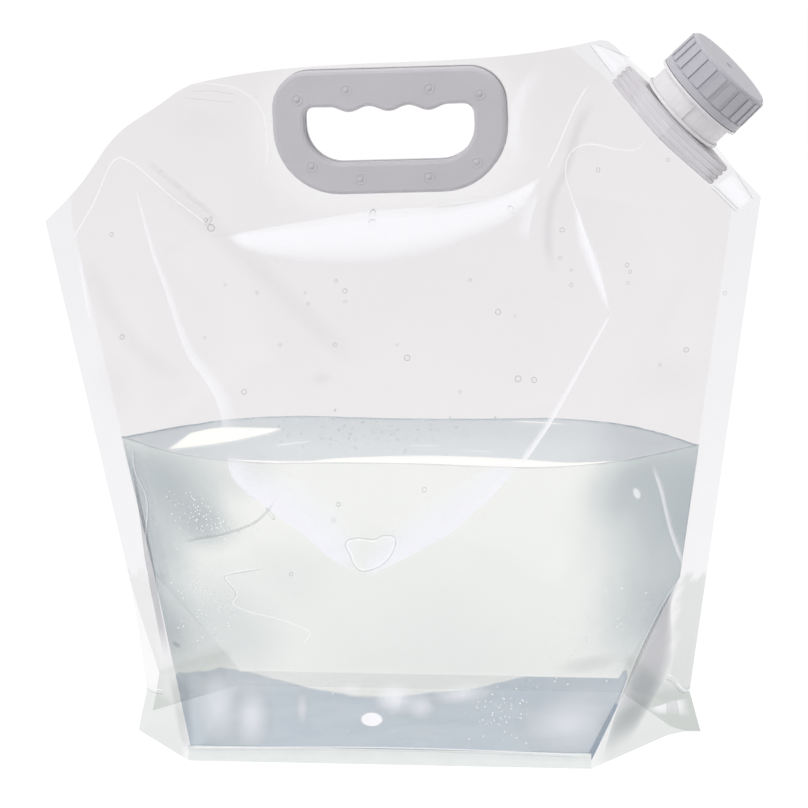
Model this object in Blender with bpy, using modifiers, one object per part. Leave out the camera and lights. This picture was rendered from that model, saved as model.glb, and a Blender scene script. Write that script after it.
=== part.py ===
# Collapsible water carrier: a stand-up film pouch with a folded bottom gusset,
# a two-piece snap handle through its top seam, and a screw-capped spout welded
# into one cut corner. Metres, +Z up, the front faces -Y. The origin is the
# middle of the base, on the surface that the carrier stands on.
import math

import bmesh
import bpy
from mathutils import Vector

# Film and fits
FILM = 0.0004  # wall of one film
GAP = 0.0003  # clearance left between pieces that touch
OVERRUN = 0.004  # how far a cutter runs past what it cuts
MERGE = 0.00001  # points closer than this are one

# Pouch, measured as it stands with its bottom full
POUCH_HEIGHT = 0.3105
SHOULDER_HALF = 0.165
NOTCH_HALF = 0.1255
NOTCH_HEIGHT = 0.019
FOOT_HALF = 0.130
CORNER_CUT = 0.0675
CUT_ROUNDING = 0.005
SEAL_WIDTH = 0.011
GUSSET_REACH = 0.072
GUSSET_RISE = 0.072
HEM_HALF = 0.092
HEM_HEIGHT = 0.007
HEM_WALL = 0.0009
HEM_SHIFT = -0.0055
HEM_BLEND = 0.009
BULGE_POWER = 3.0
FLANK_POWER = 4.5
FLANK_EASE = 1.3
WAIST_DIP_SHARE = 0.11
WAIST_DIP_HALF = 0.058
SEAL_BORDER_DROP = 0.0080
SEAL_BORDER_SLOPE = 0.10
EVEN_ROWS_TOP = 0.170

# The standing pouch slumps a little to its left
LEAN = 0.0088
TOP_SLOPE = 0.043
CORNER_LIFT = 0.0075

# Handle
HANDLE_WIDTH = 0.1072
HANDLE_HEIGHT = 0.0570
HANDLE_SHIFT = -0.0028
HANDLE_MARGIN = 0.0024
HANDLE_DROOP = 0.009  # how much flatter than the top seam the handle hangs, radians
HANDLE_SHELL = 0.0046
HANDLE_ROUND = 0.0016
HANDLE_WALL = 0.0018
HANDLE_POCKET = 0.0028
TOP_CORNER_SHARE = 0.298  # of the handle's height
LOW_CORNER_SHARE = 0.527
SIDE_BAND = 0.01455
LOW_BAND = 0.01454
GRIP_DROP = 0.01666
GRIP_TOP_CORNER_SHARE = 0.187  # of the grip's height
GRIP_LOW_CORNER_SHARE = 0.642
FINGER_PITCH_SHARE = 0.234  # of the grip's width
FINGER_BUMPS = 3
BUMP_HEIGHT = 0.0026
BUMP_STEPS = 6
PIN_RADIUS = 0.00135
PIN_BOSS = 0.0032
PIN_SEAT_DEPTH = 0.0022
FILM_HOLE_MARGIN = 0.0018

# Spout, along its own axis from the underside of the weld base
BOAT_HALF = 0.0325
BOAT_DEPTH_HALF = 0.0150
BOAT_POWER = 1.35
BOAT_TIP = 0.0009
BOAT_HEIGHT = 0.0110
BOAT_RIBS = 4
RIB_PROUD = 0.0006
RIB_SHARE = 0.5
FILM_LIP = 0.0018
WELD_EASE = 0.0007
THROAT_LENGTH = 0.055
THROAT_SPREAD_SHARE = 0.4
SPOUT_SHIFT = -0.0020
STEM_RADIUS = 0.0135
PLINTH_RADIUS = 0.0213
PLINTH_HEIGHT = 0.0014
NECK_RADIUS = 0.0203
NECK_HEIGHT = 0.0093
RING_RADIUS = 0.0230
RING_HEIGHT = 0.0014
THREAD_CORE = 0.0190
THREAD_ROOM = 0.0016
NECK_BORE = 0.0168
BOAT_BORE = 0.0095
FUNNEL_HEIGHT = 0.0060
NECK_FIN_WIDTH = 0.0012
NECK_FIN_PROUD = 0.0007

# Cap and its liner
CAP_WALL = 0.0016
CAP_HEIGHT = 0.01845
CAP_ROOF = 0.0020
CAP_TAPER = 0.0002
CAP_BAND = 0.0040
CAP_ROUND = 0.0016
CAP_PADS = 22
PAD_SHARE = 0.62
PAD_PROUD = 0.0006
DIMPLE_RADIUS = 0.0022
DIMPLE_DEPTH = 0.0007
LINER_THICK = 0.0013

# Facets
TURN_STEPS = 44
ROD_STEPS = 16
ARC_STEPS = 10
BOAT_STEPS = 14
SHARP_DEGREES = 35
FILM_SHARP_DEGREES = 60
FLAP_COLUMNS = 2
GUSSET_COLUMNS = 24
GUSSET_ROWS = 12
# Where the panel's columns stand between the two inner seal lines
FACE_SHARES = (
    -1.0, -0.965, -0.92, -0.86, -0.78, -0.68, -0.55, -0.40, -0.22, -0.05, 0.12, 0.28,
    0.43, 0.56, 0.63, 0.68, 0.73, 0.78, 0.83, 0.88, 0.93, 0.97, 1.0,
)
# Where the panel's rows stand along the crease, the even body, the narrowing
# shoulder below the handle's seal, and the seam above it
CREASE_ROW_SHARES = (0.0, 0.25, 0.50, 0.75, 1.0)
BODY_ROW_SHARES = (0.25, 0.50, 0.75, 1.0)
SHOULDER_ROW_SHARES = (0.35, 0.65, 0.88, 1.0)
SEAM_ROW_SHARES = (0.18, 0.36, 0.52, 0.66, 0.77, 0.86, 0.93, 1.0)
MOST_BORDER_SHARE = 0.58
HALF_SHARE = 0.5

# Derived sizes
SHOULDER_HEIGHT = POUCH_HEIGHT - CORNER_CUT
TOP_HALF = SHOULDER_HALF - CORNER_CUT
FILM_MIDDLE = GAP / 2 + FILM / 2
TOP_CORNER = HANDLE_HEIGHT * TOP_CORNER_SHARE
LOW_CORNER = HANDLE_HEIGHT * LOW_CORNER_SHARE
GRIP_WIDTH = HANDLE_WIDTH - 2 * SIDE_BAND
GRIP_HEIGHT = HANDLE_HEIGHT - GRIP_DROP - LOW_BAND
GRIP_TOP_CORNER = GRIP_HEIGHT * GRIP_TOP_CORNER_SHARE
GRIP_LOW_CORNER = GRIP_HEIGHT * GRIP_LOW_CORNER_SHARE
FINGER_PITCH = GRIP_WIDTH * FINGER_PITCH_SHARE
HANDLE_MIDDLE = POUCH_HEIGHT - HANDLE_MARGIN - HANDLE_HEIGHT / 2
BULGE_TOP = HANDLE_MIDDLE - HANDLE_HEIGHT / 2 - SEAL_BORDER_DROP
BOAT_FOOT = BOAT_HEIGHT + FILM_LIP
PLINTH_FOOT = BOAT_FOOT + GAP
NECK_FOOT = PLINTH_FOOT + PLINTH_HEIGHT
RING_FOOT = NECK_FOOT + NECK_HEIGHT
RING_TOP = RING_FOOT + RING_HEIGHT
CAP_FOOT = RING_TOP + GAP
CAP_INSIDE = THREAD_CORE + THREAD_ROOM
CAP_RADIUS = CAP_INSIDE + CAP_WALL
CAP_TOP = CAP_FOOT + CAP_HEIGHT
CAP_CEILING = CAP_TOP - CAP_ROOF
LINER_FOOT = CAP_CEILING - GAP - LINER_THICK
NECK_TOP = LINER_FOOT - GAP


def clamp(value, low=0.0, high=1.0):
    return max(low, min(high, value))


def smooth(value):
    value = clamp(value)
    return value * value * (3 - 2 * value)


def mix(a, b, share):
    return a + (b - a) * share


# Pouch geometry, first as if it stood straight


def half_width(height):
    """Outer edge of the side seal, with the small waist just above the foot."""
    if height < NOTCH_HEIGHT:
        return mix(FOOT_HALF, NOTCH_HALF, height / NOTCH_HEIGHT)
    rise = (height - NOTCH_HEIGHT) / (SHOULDER_HEIGHT - NOTCH_HEIGHT)
    return mix(NOTCH_HALF, SHOULDER_HALF, clamp(rise))


def crease_share(height):
    """How far up its run the crease is, from the hem's top to the gusset's peak."""
    return clamp((height - HEM_HEIGHT) / (GUSSET_RISE - HEM_HEIGHT))


def inner_line(height):
    """The gusset's crease below its peak, and the side seal's inner edge above."""
    if height < GUSSET_RISE:
        peak = half_width(GUSSET_RISE) - SEAL_WIDTH
        return mix(HEM_HALF, peak, crease_share(height))
    return half_width(height) - SEAL_WIDTH


def crease_depth(height):
    return GUSSET_REACH * (1 - crease_share(height))


def crease_shift(height):
    """The base stands a little left of the seals above it, less so up the crease."""
    return HEM_SHIFT * (1 - crease_share(height))


def seal_border(x):
    """Height at which the films part, below the sealed field round the handle."""
    return BULGE_TOP + SEAL_BORDER_SLOPE * x


def bulge_depth(x, height):
    """Half depth of the pouch at its full part, from the base to the handle's seal."""
    top = seal_border(x)
    full = GUSSET_REACH * clamp(1 - (height / top) ** BULGE_POWER)
    dip = WAIST_DIP_SHARE * clamp(1 - (x / WAIST_DIP_HALF) ** 2)
    return full * (1 - dip * math.sin(math.pi * clamp(height / top)))


def boat_depth(along):
    """Half depth of the spout's weld base, by distance from its middle."""
    share = clamp(abs(along) / BOAT_HALF)
    return mix(BOAT_DEPTH_HALF, BOAT_TIP, share**BOAT_POWER)


def corner_place(x, height):
    """Distances along the cut corner from the spout's middle, and inwards from it."""
    root = math.sqrt(2)
    middle = SHOULDER_HALF - CORNER_CUT / 2
    middle_height = POUCH_HEIGHT - CORNER_CUT / 2
    along = ((x - middle) - (height - middle_height)) / root
    inwards = ((middle + middle_height) - (x + height)) / root
    return along - SPOUT_SHIFT, inwards


def throat_depth(x, height):
    """Half depth of the film where it wraps the weld base and closes below it."""
    along, inwards = corner_place(x, height)
    below = clamp((inwards - BOAT_FOOT) / THROAT_LENGTH)
    spread = along / (1 + THROAT_SPREAD_SHARE * below)
    if abs(spread) >= BOAT_HALF:
        return 0.0
    return (boat_depth(spread) + GAP + WELD_EASE + FILM / 2) * (1 - smooth(below))


def film_depth(x, height):
    inner = inner_line(height)
    foot = crease_depth(height)
    offset = x - crease_shift(height)
    if abs(offset) >= inner:
        edge = half_width(height) - math.copysign(crease_shift(height), offset)
        return foot * clamp((edge - abs(offset)) / (edge - inner))
    flank = (1 - (abs(offset) / inner) ** FLANK_POWER) ** FLANK_EASE
    return foot + (max(bulge_depth(x, height), foot) - foot) * flank


def top_edge(x):
    """Height of the film's upper edge: the top seam and the two cut corners."""
    cut = POUCH_HEIGHT + TOP_HALF - abs(x)
    below = clamp((POUCH_HEIGHT - cut) / (2 * CUT_ROUNDING) + HALF_SHARE)
    level = mix(POUCH_HEIGHT, cut, below)
    return level - CUT_ROUNDING * below * (1 - below)


def slumped(x, height):
    """Place of a point of the straight pouch once the pouch leans as it stands."""
    slope = TOP_SLOPE * smooth(height / SHOULDER_HEIGHT)
    corner = clamp(x / TOP_HALF, -1, 1) ** 3
    rise = clamp((height - SHOULDER_HEIGHT) / CORNER_CUT)
    return (
        x - LEAN * height / POUCH_HEIGHT,
        height + slope * x + CORNER_LIFT * corner * rise,
    )


def column_places():
    flaps = [1 + (step + 1) / FLAP_COLUMNS for step in range(FLAP_COLUMNS)]
    return [-share for share in reversed(flaps)] + list(FACE_SHARES) + flaps


def row_places(x):
    """Heights of a column's points, with one row on each crease and border."""
    edge = top_edge(x)
    border = min(seal_border(x), mix(EVEN_ROWS_TOP, edge, MOST_BORDER_SHARE))
    rows = [0] + [mix(HEM_HEIGHT, GUSSET_RISE, share) for share in CREASE_ROW_SHARES]
    rows += [mix(GUSSET_RISE, EVEN_ROWS_TOP, share) for share in BODY_ROW_SHARES]
    rows += [mix(EVEN_ROWS_TOP, border, share) for share in SHOULDER_ROW_SHARES]
    return rows + [mix(border, edge, share) for share in SEAM_ROW_SHARES]


def across(share, height):
    """x of a column: up to 1 it lies between the inner lines, past 1 on a flap."""
    inner = crease_shift(height) + math.copysign(inner_line(height), share)
    if abs(share) <= 1:
        return crease_shift(height) + share * inner_line(height)
    edge = math.copysign(half_width(height), share)
    return mix(inner, edge, abs(share) - 1)


# Scene and modelling helpers


def clear_scene():
    for old in list(bpy.data.objects):
        bpy.data.objects.remove(old, do_unlink=True)


def new_collection(name):
    collection = bpy.data.collections.new(name)
    bpy.context.scene.collection.children.link(collection)
    return collection


def material(name, colour, roughness, alpha=1.0, metallic=0.0):
    made = bpy.data.materials.new(name)
    made.use_nodes = True
    shader = made.node_tree.nodes["Principled BSDF"]
    shader.inputs["Base Color"].default_value = (*colour, 1.0)
    shader.inputs["Roughness"].default_value = roughness
    shader.inputs["Metallic"].default_value = metallic
    shader.inputs["Alpha"].default_value = alpha
    made.diffuse_color = (*colour, alpha)
    return made


def add_object(name, mesh, surface=None, parent=None):
    obj = bpy.data.objects.new(name, mesh)
    parts.objects.link(obj)
    obj.parent = parent
    if surface:
        obj.data.materials.append(surface)
    return obj


def make_cutter(obj, parent=None):
    for collection in list(obj.users_collection):
        collection.objects.unlink(obj)
    cutters.objects.link(obj)
    obj.hide_render = True
    obj.display_type = "WIRE"
    if parent:
        obj.parent = parent
    return obj


def add_empty(name, location, rotation):
    empty = bpy.data.objects.new(name, None)
    parts.objects.link(empty)
    empty.location = location
    empty.rotation_euler = rotation
    return empty


def boolean(obj, other, operation="DIFFERENCE"):
    modifier = obj.modifiers.new(other.name, "BOOLEAN")
    modifier.operation = operation
    modifier.object = other
    modifier.solver = "EXACT"


def round_shade(obj, degrees=SHARP_DEGREES):
    obj.data.shade_smooth()
    obj.data.set_sharp_from_angle(angle=math.radians(degrees))


def box(name, low, high, parent=None):
    """A cutter or block between two corners."""
    mesh = bpy.data.meshes.new(name)
    shape = bmesh.new()
    bmesh.ops.create_cube(shape, size=1)
    low, high = Vector(low), Vector(high)
    for vert in shape.verts:
        share = vert.co + Vector((HALF_SHARE, HALF_SHARE, HALF_SHARE))
        vert.co = low + Vector(s * e for s, e in zip(share, high - low))
    shape.to_mesh(mesh)
    shape.free()
    return add_object(name, mesh, parent=parent)


def rods(name, places, radius, low, high, parent=None):
    """Round bars along local Z at each place, joined in one mesh."""
    mesh = bpy.data.meshes.new(name)
    shape = bmesh.new()
    for place in places:
        made = bmesh.ops.create_cone(
            shape, cap_ends=True, segments=ROD_STEPS, radius1=radius, radius2=radius,
            depth=high - low,
        )
        middle = Vector((place[0], place[1], (low + high) / 2))
        bmesh.ops.translate(shape, verts=made["verts"], vec=middle)
    shape.to_mesh(mesh)
    shape.free()
    return add_object(name, mesh, parent=parent)


def turned(name, profile, closed, surface=None, parent=None):
    """A profile of (radius, height) points, outer side downwards, turned about Z."""
    mesh = bpy.data.meshes.new(name)
    points = [(radius, 0.0, height) for radius, height in profile]
    edges = [(i, i + 1) for i in range(len(points) - 1)]
    if closed:
        edges.append((len(points) - 1, 0))
    mesh.from_pydata(points, edges, [])
    obj = add_object(name, mesh, surface, parent)
    screw = obj.modifiers.new("turn", "SCREW")
    screw.axis = "Z"
    screw.steps = screw.render_steps = TURN_STEPS
    screw.use_merge_vertices = True
    screw.merge_threshold = MERGE
    screw.use_smooth_shade = True
    return obj


def flat_shape(name, outlines, half_thick, rounding=0.0, surface=None, parent=None):
    """Closed outlines filled as one plate with rounded rims, made a mesh."""
    curve = bpy.data.curves.new(name, "CURVE")
    curve.dimensions = "2D"
    curve.fill_mode = "BOTH"
    curve.extrude = half_thick - rounding
    curve.bevel_depth = rounding
    curve.bevel_resolution = 1
    curve.offset = -rounding
    for outline in outlines:
        spline = curve.splines.new("POLY")
        spline.points.add(len(outline) - 1)
        spline.use_cyclic_u = True
        for point, place in zip(spline.points, outline):
            point.co = (place[0], place[1], 0, 1)
    guide = add_object(name + "_outline", curve)
    graph = bpy.context.evaluated_depsgraph_get()
    mesh = bpy.data.meshes.new_from_object(guide.evaluated_get(graph))
    bpy.data.objects.remove(guide, do_unlink=True)
    shape = bmesh.new()
    shape.from_mesh(mesh)
    bmesh.ops.remove_doubles(shape, verts=shape.verts, dist=MERGE)
    bmesh.ops.recalc_face_normals(shape, faces=shape.faces)
    shape.to_mesh(mesh)
    shape.free()
    return add_object(name, mesh, surface, parent)


def arc(centre, radius, start, end):
    """Points of a round corner, in degrees counter-clockwise."""
    points = []
    for step in range(ARC_STEPS + 1):
        angle = math.radians(mix(start, end, step / ARC_STEPS))
        points.append(
            (centre[0] + radius * math.cos(angle), centre[1] + radius * math.sin(angle))
        )
    return points


def soft_box(left, right, low, high, low_corner, top_corner, top_run=()):
    """Outline of a box with its own lower and upper corners, top run left to right."""
    outline = arc((left + low_corner, low + low_corner), low_corner, 180, 270)
    outline += arc((right - low_corner, low + low_corner), low_corner, 270, 360)
    outline += arc((right - top_corner, high - top_corner), top_corner, 0, 90)
    outline += list(reversed(top_run))
    return outline + arc((left + top_corner, high - top_corner), top_corner, 90, 180)


# Pouch pieces


def pouch_panel(name, side, surface, holes):
    """One film from the foot to the top seam. side is -1 in front and 1 behind."""
    columns = column_places()
    row_count = len(row_places(0))
    mesh = bpy.data.meshes.new(name)
    shape = bmesh.new()
    bmesh.ops.create_grid(
        shape, x_segments=len(columns) - 1, y_segments=row_count - 1, size=HALF_SHARE
    )
    for vert in shape.verts:
        share = columns[round((vert.co.x + HALF_SHARE) * (len(columns) - 1))]
        row = round((vert.co.y + HALF_SHARE) * (row_count - 1))
        height = row_places(across(share, SHOULDER_HEIGHT))[row]
        x = across(share, height)
        depth = max(film_depth(x, height), throat_depth(x, height))
        place_x, place_z = slumped(x, height)
        vert.co = (place_x, side * (FILM_MIDDLE + depth), place_z)
    shape.to_mesh(mesh)
    shape.free()
    obj = add_object(name, mesh, surface)
    skin = obj.modifiers.new("film", "SOLIDIFY")
    skin.thickness = FILM
    skin.offset = 0
    for hole in holes:
        boolean(obj, hole)
    round_shade(obj, FILM_SHARP_DEGREES)
    return obj


def gusset(surface):
    """The floor of the pouch: flat on the ground, folded up to a peak at each side."""
    inset = 2 * FILM + 3 * GAP
    slope = (inner_line(GUSSET_RISE) - HEM_HALF) / GUSSET_REACH
    end = inner_line(GUSSET_RISE) - 2 * inset * slope
    mesh = bpy.data.meshes.new("bottom_gusset")
    shape = bmesh.new()
    bmesh.ops.create_grid(
        shape, x_segments=GUSSET_COLUMNS, y_segments=GUSSET_ROWS, size=HALF_SHARE
    )
    for vert in shape.verts:
        x = 2 * vert.co.x * end
        fold = clamp((abs(x) - HEM_HALF) / slope / GUSSET_REACH)
        wall = film_depth(x + crease_shift(fold * GUSSET_RISE), fold * GUSSET_RISE)
        half_depth = min(GUSSET_REACH * (1 - fold), wall) - inset
        y = 2 * vert.co.y * half_depth
        rim = smooth((abs(y) - half_depth + HEM_BLEND) / HEM_BLEND)
        rim *= smooth((HEM_HALF - abs(x)) / HEM_BLEND)
        height = FILM / 2 + max(fold * GUSSET_RISE, HEM_HEIGHT * rim)
        place_x, place_z = slumped(x + crease_shift(height), height)
        vert.co = (place_x, y, place_z)
    shape.to_mesh(mesh)
    shape.free()
    obj = add_object("bottom_gusset", mesh, surface)
    skin = obj.modifiers.new("film", "SOLIDIFY")
    skin.thickness = FILM
    skin.offset = 0
    return obj


def hem(name, side, surface):
    """Straight run of the bottom seal, where a panel and the gusset are one strip."""
    near = side * (GUSSET_REACH - HEM_WALL / 2)
    far = side * (GUSSET_REACH + HEM_WALL / 2)
    obj = box(
        name,
        (HEM_SHIFT - HEM_HALF, min(near, far), 0),
        (HEM_SHIFT + HEM_HALF, max(near, far), HEM_HEIGHT),
    )
    obj.data.materials.append(surface)
    return obj


# Handle pieces, drawn in the handle's own plane: x along it, y up, z to the front


def finger_run():
    """The three bumps between four fingers, left to right along the grip's top."""
    top = HANDLE_HEIGHT / 2 - GRIP_DROP
    points = []
    for bump in range(FINGER_BUMPS):
        centre = (bump - (FINGER_BUMPS - 1) / 2) * FINGER_PITCH
        for step in range(1 - BUMP_STEPS, BUMP_STEPS + 1):
            share = step / BUMP_STEPS
            drop = BUMP_HEIGHT * (1 + math.cos(math.pi * share)) / 2
            points.append((centre + share * FINGER_PITCH / 2, top - drop))
    return points


def handle_outline(inset=0.0):
    half, tall = HANDLE_WIDTH / 2 - inset, HANDLE_HEIGHT / 2 - inset
    return soft_box(
        -half, half, -tall, tall, LOW_CORNER - inset, TOP_CORNER - inset
    )


def grip_outline(margin=0.0, bumps=True):
    top = HANDLE_HEIGHT / 2 - GRIP_DROP
    half = GRIP_WIDTH / 2 + margin
    return soft_box(
        -half, half, top - GRIP_HEIGHT - margin, top + margin,
        GRIP_LOW_CORNER + margin, GRIP_TOP_CORNER + margin,
        finger_run() if bumps else (),
    )


def pin_places():
    """Eight snap pins, mirrored left and right."""
    band = LOW_BAND / 2
    upper = HANDLE_HEIGHT / 2 - GRIP_DROP / 2
    lower = -HANDLE_HEIGHT / 2 + band
    outer_top = GRIP_WIDTH / 2 + PIN_BOSS
    outer_low = GRIP_WIDTH / 2 - PIN_RADIUS
    places = []
    for side in (-1, 1):
        places += [
            (side * outer_top, upper - GRIP_TOP_CORNER),
            (side * FINGER_PITCH, upper - PIN_RADIUS),
            (side * outer_low, lower + GRIP_TOP_CORNER + PIN_RADIUS),
            (side * (FINGER_PITCH - PIN_RADIUS), lower),
        ]
    return places


def handle_shell(name, side, frame, surface, pins):
    """Half of the handle. side is 1 in front and -1 behind, along the frame's z."""
    seat = FILM_MIDDLE + FILM / 2 + GAP
    shell = flat_shape(
        name, [handle_outline(), grip_outline()], HANDLE_SHELL + seat,
        HANDLE_ROUND, surface, frame,
    )
    far = HANDLE_SHELL + seat + OVERRUN
    half = HANDLE_WIDTH
    halves = make_cutter(
        box(
            name + "_seat_cutter",
            (-half, -half, min(side * seat, -side * far)),
            (half, half, max(side * seat, -side * far)),
        ),
        frame,
    )
    boolean(shell, halves)
    pocket = make_cutter(
        flat_shape(
            name + "_pocket_cutter",
            [
                handle_outline(HANDLE_WALL),
                grip_outline(HANDLE_WALL + BUMP_HEIGHT, bumps=False),
            ],
            seat + HANDLE_POCKET,
        ),
        frame,
    )
    boolean(shell, pocket)
    low, high = side * seat, side * (seat + HANDLE_POCKET + HANDLE_WALL / 2)
    bosses = make_cutter(
        rods(name + "_bosses", pin_places(), PIN_BOSS, min(low, high), max(low, high)),
        frame,
    )
    boolean(shell, bosses, "UNION")
    boolean(shell, pins, "UNION" if side < 0 else "DIFFERENCE")
    round_shade(shell)
    return shell


# Spout pieces, along the spout's own axis


def boat_outline(inset):
    shares = [mix(-1, 1, step / BOAT_STEPS) for step in range(BOAT_STEPS + 1)]
    places = [share * (BOAT_HALF - inset) for share in shares]
    upper = [(x, boat_depth(x) - inset * (1 - BOAT_TIP / BOAT_DEPTH_HALF)) for x in places]
    upper = [(x, max(y, BOAT_TIP / 2)) for x, y in upper]
    return [(x, -y) for x, y in upper] + [(x, y) for x, y in reversed(upper)]


def spout_fitment(axis, surface):
    """Weld base, stem, plinth, neck and support ring moulded as one piece."""
    neck = turned(
        "spout_fitment",
        (
            (THREAD_CORE, NECK_TOP),
            (THREAD_CORE, RING_TOP),
            (RING_RADIUS, RING_TOP),
            (RING_RADIUS, RING_FOOT),
            (NECK_RADIUS, RING_FOOT),
            (NECK_RADIUS, NECK_FOOT),
            (PLINTH_RADIUS, NECK_FOOT),
            (PLINTH_RADIUS, PLINTH_FOOT),
            (STEM_RADIUS, PLINTH_FOOT),
            (STEM_RADIUS, BOAT_HEIGHT - FILM_LIP),
            (BOAT_BORE, BOAT_HEIGHT - FILM_LIP),
            (BOAT_BORE, BOAT_HEIGHT + FILM_LIP),
            (NECK_BORE, BOAT_HEIGHT + FILM_LIP + FUNNEL_HEIGHT),
            (NECK_BORE, NECK_TOP),
        ),
        True,
        surface,
        axis,
    )
    boat = make_cutter(
        flat_shape("boat_core", [boat_outline(RIB_PROUD)], BOAT_HEIGHT / 2), axis
    )
    boat.location.z = BOAT_HEIGHT / 2
    boolean(neck, boat, "UNION")
    pitch = BOAT_HEIGHT / BOAT_RIBS
    for rib in range(BOAT_RIBS):
        plate = make_cutter(
            flat_shape(f"boat_rib_{rib + 1}", [boat_outline(0.0)], pitch * RIB_SHARE / 2),
            axis,
        )
        plate.location.z = pitch * (rib + HALF_SHARE)
        boolean(neck, plate, "UNION")
    bore = make_cutter(
        rods("boat_bore_cutter", [(0, 0)], BOAT_BORE, -OVERRUN, BOAT_HEIGHT + FILM_LIP),
        axis,
    )
    boolean(neck, bore)
    fin = make_cutter(
        box(
            "neck_fin",
            (-NECK_FIN_WIDTH / 2, -NECK_RADIUS - NECK_FIN_PROUD, NECK_FOOT - GAP),
            (NECK_FIN_WIDTH / 2, -NECK_RADIUS + NECK_FIN_PROUD, RING_FOOT + GAP),
        ),
        axis,
    )
    boolean(neck, fin, "UNION")
    round_shade(neck)
    return neck


def cap_pads(axis):
    """Raised grip pads round the cap's side, set into its wall."""
    mesh = bpy.data.meshes.new("cap_pads")
    shape = bmesh.new()
    width = 2 * math.pi * CAP_RADIUS / CAP_PADS * PAD_SHARE
    low = CAP_FOOT + CAP_BAND
    high = CAP_TOP - CAP_ROUND - CAP_TAPER
    inner = (CAP_INSIDE + CAP_RADIUS - CAP_TAPER) / 2
    outer = CAP_RADIUS + PAD_PROUD
    for pad in range(CAP_PADS):
        made = bmesh.ops.create_cube(shape, size=1)
        turn = 2 * math.pi * (pad + HALF_SHARE) / CAP_PADS
        for vert in made["verts"]:
            far = vert.co.x > 0
            top = vert.co.z > 0
            radius = outer - (CAP_TAPER if top else 0) if far else inner
            side = vert.co.y * width
            vert.co = (
                radius * math.cos(turn) - side * math.sin(turn),
                radius * math.sin(turn) + side * math.cos(turn),
                high if top else low,
            )
    shape.to_mesh(mesh)
    shape.free()
    return make_cutter(add_object("cap_pads", mesh), axis)


def screw_cap(axis, surface):
    top_radius = CAP_RADIUS - CAP_TAPER
    rounding = [
        (
            top_radius - CAP_ROUND * (1 - math.sin(angle)),
            CAP_TOP - CAP_ROUND * (1 - math.cos(angle)),
        )
        for angle in (math.radians(30 * step) for step in range(4))
    ]
    cap = turned(
        "screw_cap",
        [
            (0, CAP_TOP - DIMPLE_DEPTH),
            (DIMPLE_RADIUS, CAP_TOP - DIMPLE_DEPTH),
            (DIMPLE_RADIUS + DIMPLE_DEPTH, CAP_TOP),
            *rounding,
            (CAP_RADIUS, CAP_FOOT + CAP_BAND),
            (CAP_RADIUS + PAD_PROUD, CAP_FOOT + CAP_BAND - PAD_PROUD),
            (CAP_RADIUS + PAD_PROUD, CAP_FOOT),
            (CAP_INSIDE, CAP_FOOT),
            (CAP_INSIDE, CAP_CEILING),
            (0, CAP_CEILING),
        ],
        False,
        surface,
        axis,
    )
    boolean(cap, cap_pads(axis), "UNION")
    round_shade(cap)
    return cap


def cap_liner(axis, surface):
    radius = CAP_INSIDE - GAP
    liner = turned(
        "cap_liner",
        [
            (0, LINER_FOOT + LINER_THICK),
            (radius, LINER_FOOT + LINER_THICK),
            (radius, LINER_FOOT),
            (0, LINER_FOOT),
        ],
        False,
        surface,
        axis,
    )
    round_shade(liner)
    return liner


def build():
    film = material("clear_film", (0.86, 0.86, 0.88), 0.12, alpha=0.25)
    seal = material("sealed_film", (0.90, 0.90, 0.93), 0.30, alpha=0.45)
    grey = material("handle_grey", (0.50, 0.49, 0.52), 0.42)
    cap_grey = material("cap_grey", (0.49, 0.48, 0.53), 0.45)
    natural = material("spout_natural", (0.63, 0.63, 0.64), 0.35, alpha=0.85)
    foam = material("liner_foam", (0.85, 0.85, 0.83), 0.80)

    x, height = slumped(HANDLE_SHIFT, HANDLE_MIDDLE)
    tilt = math.atan(TOP_SLOPE) - HANDLE_DROOP
    frame = add_empty("handle_frame", (x, 0, height), (math.pi / 2, -tilt, 0))
    pins = make_cutter(
        rods(
            "pins", pin_places(), PIN_RADIUS,
            -FILM_MIDDLE - FILM - GAP - PIN_SEAT_DEPTH,
            FILM_MIDDLE + FILM + GAP + PIN_SEAT_DEPTH,
        ),
        frame,
    )
    sockets = make_cutter(
        rods(
            "sockets", pin_places(), PIN_RADIUS + GAP,
            -FILM_MIDDLE - FILM - GAP, FILM_MIDDLE + FILM + 2 * GAP + PIN_SEAT_DEPTH,
        ),
        frame,
    )
    opening = make_cutter(
        flat_shape(
            "film_grip_cutter", [grip_outline(FILM_HOLE_MARGIN, bumps=False)], OVERRUN
        ),
        frame,
    )
    handle_shell("handle_front", 1, frame, grey, sockets)
    handle_shell("handle_rear", -1, frame, grey, pins)

    hem_slot = make_cutter(
        box(
            "hem_slot_cutter",
            (HEM_SHIFT - HEM_HALF - GAP, -GUSSET_REACH - OVERRUN, -OVERRUN),
            (HEM_SHIFT + HEM_HALF + GAP, GUSSET_REACH + OVERRUN, HEM_HEIGHT + GAP),
        )
    )
    holes = (opening, sockets, hem_slot)
    pouch_panel("front_panel", -1, film, holes)
    pouch_panel("rear_panel", 1, film, holes)
    gusset(film)
    hem("front_hem", -1, seal)
    hem("rear_hem", 1, seal)

    corner = [
        Vector(slumped(TOP_HALF, POUCH_HEIGHT)),
        Vector(slumped(SHOULDER_HALF, SHOULDER_HEIGHT)),
    ]
    run = (corner[1] - corner[0]).normalized()
    outwards = Vector((-run.y, run.x))
    middle = (corner[0] + corner[1]) / 2 + run * SPOUT_SHIFT - outwards * BOAT_FOOT
    lean = math.atan2(outwards.x, outwards.y)
    axis = add_empty("spout_axis", (middle.x, 0, middle.y), (0, lean, 0))
    spout_fitment(axis, natural)
    cap_liner(axis, foam)
    screw_cap(axis, cap_grey)
    print("handle frame", tuple(frame.location), "tilt", math.degrees(tilt))
    print("spout axis through", tuple(axis.location), "along", tuple(outwards))


clear_scene()
parts = new_collection("collapsible_water_carrier")
cutters = new_collection("cutters")
build()
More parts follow.
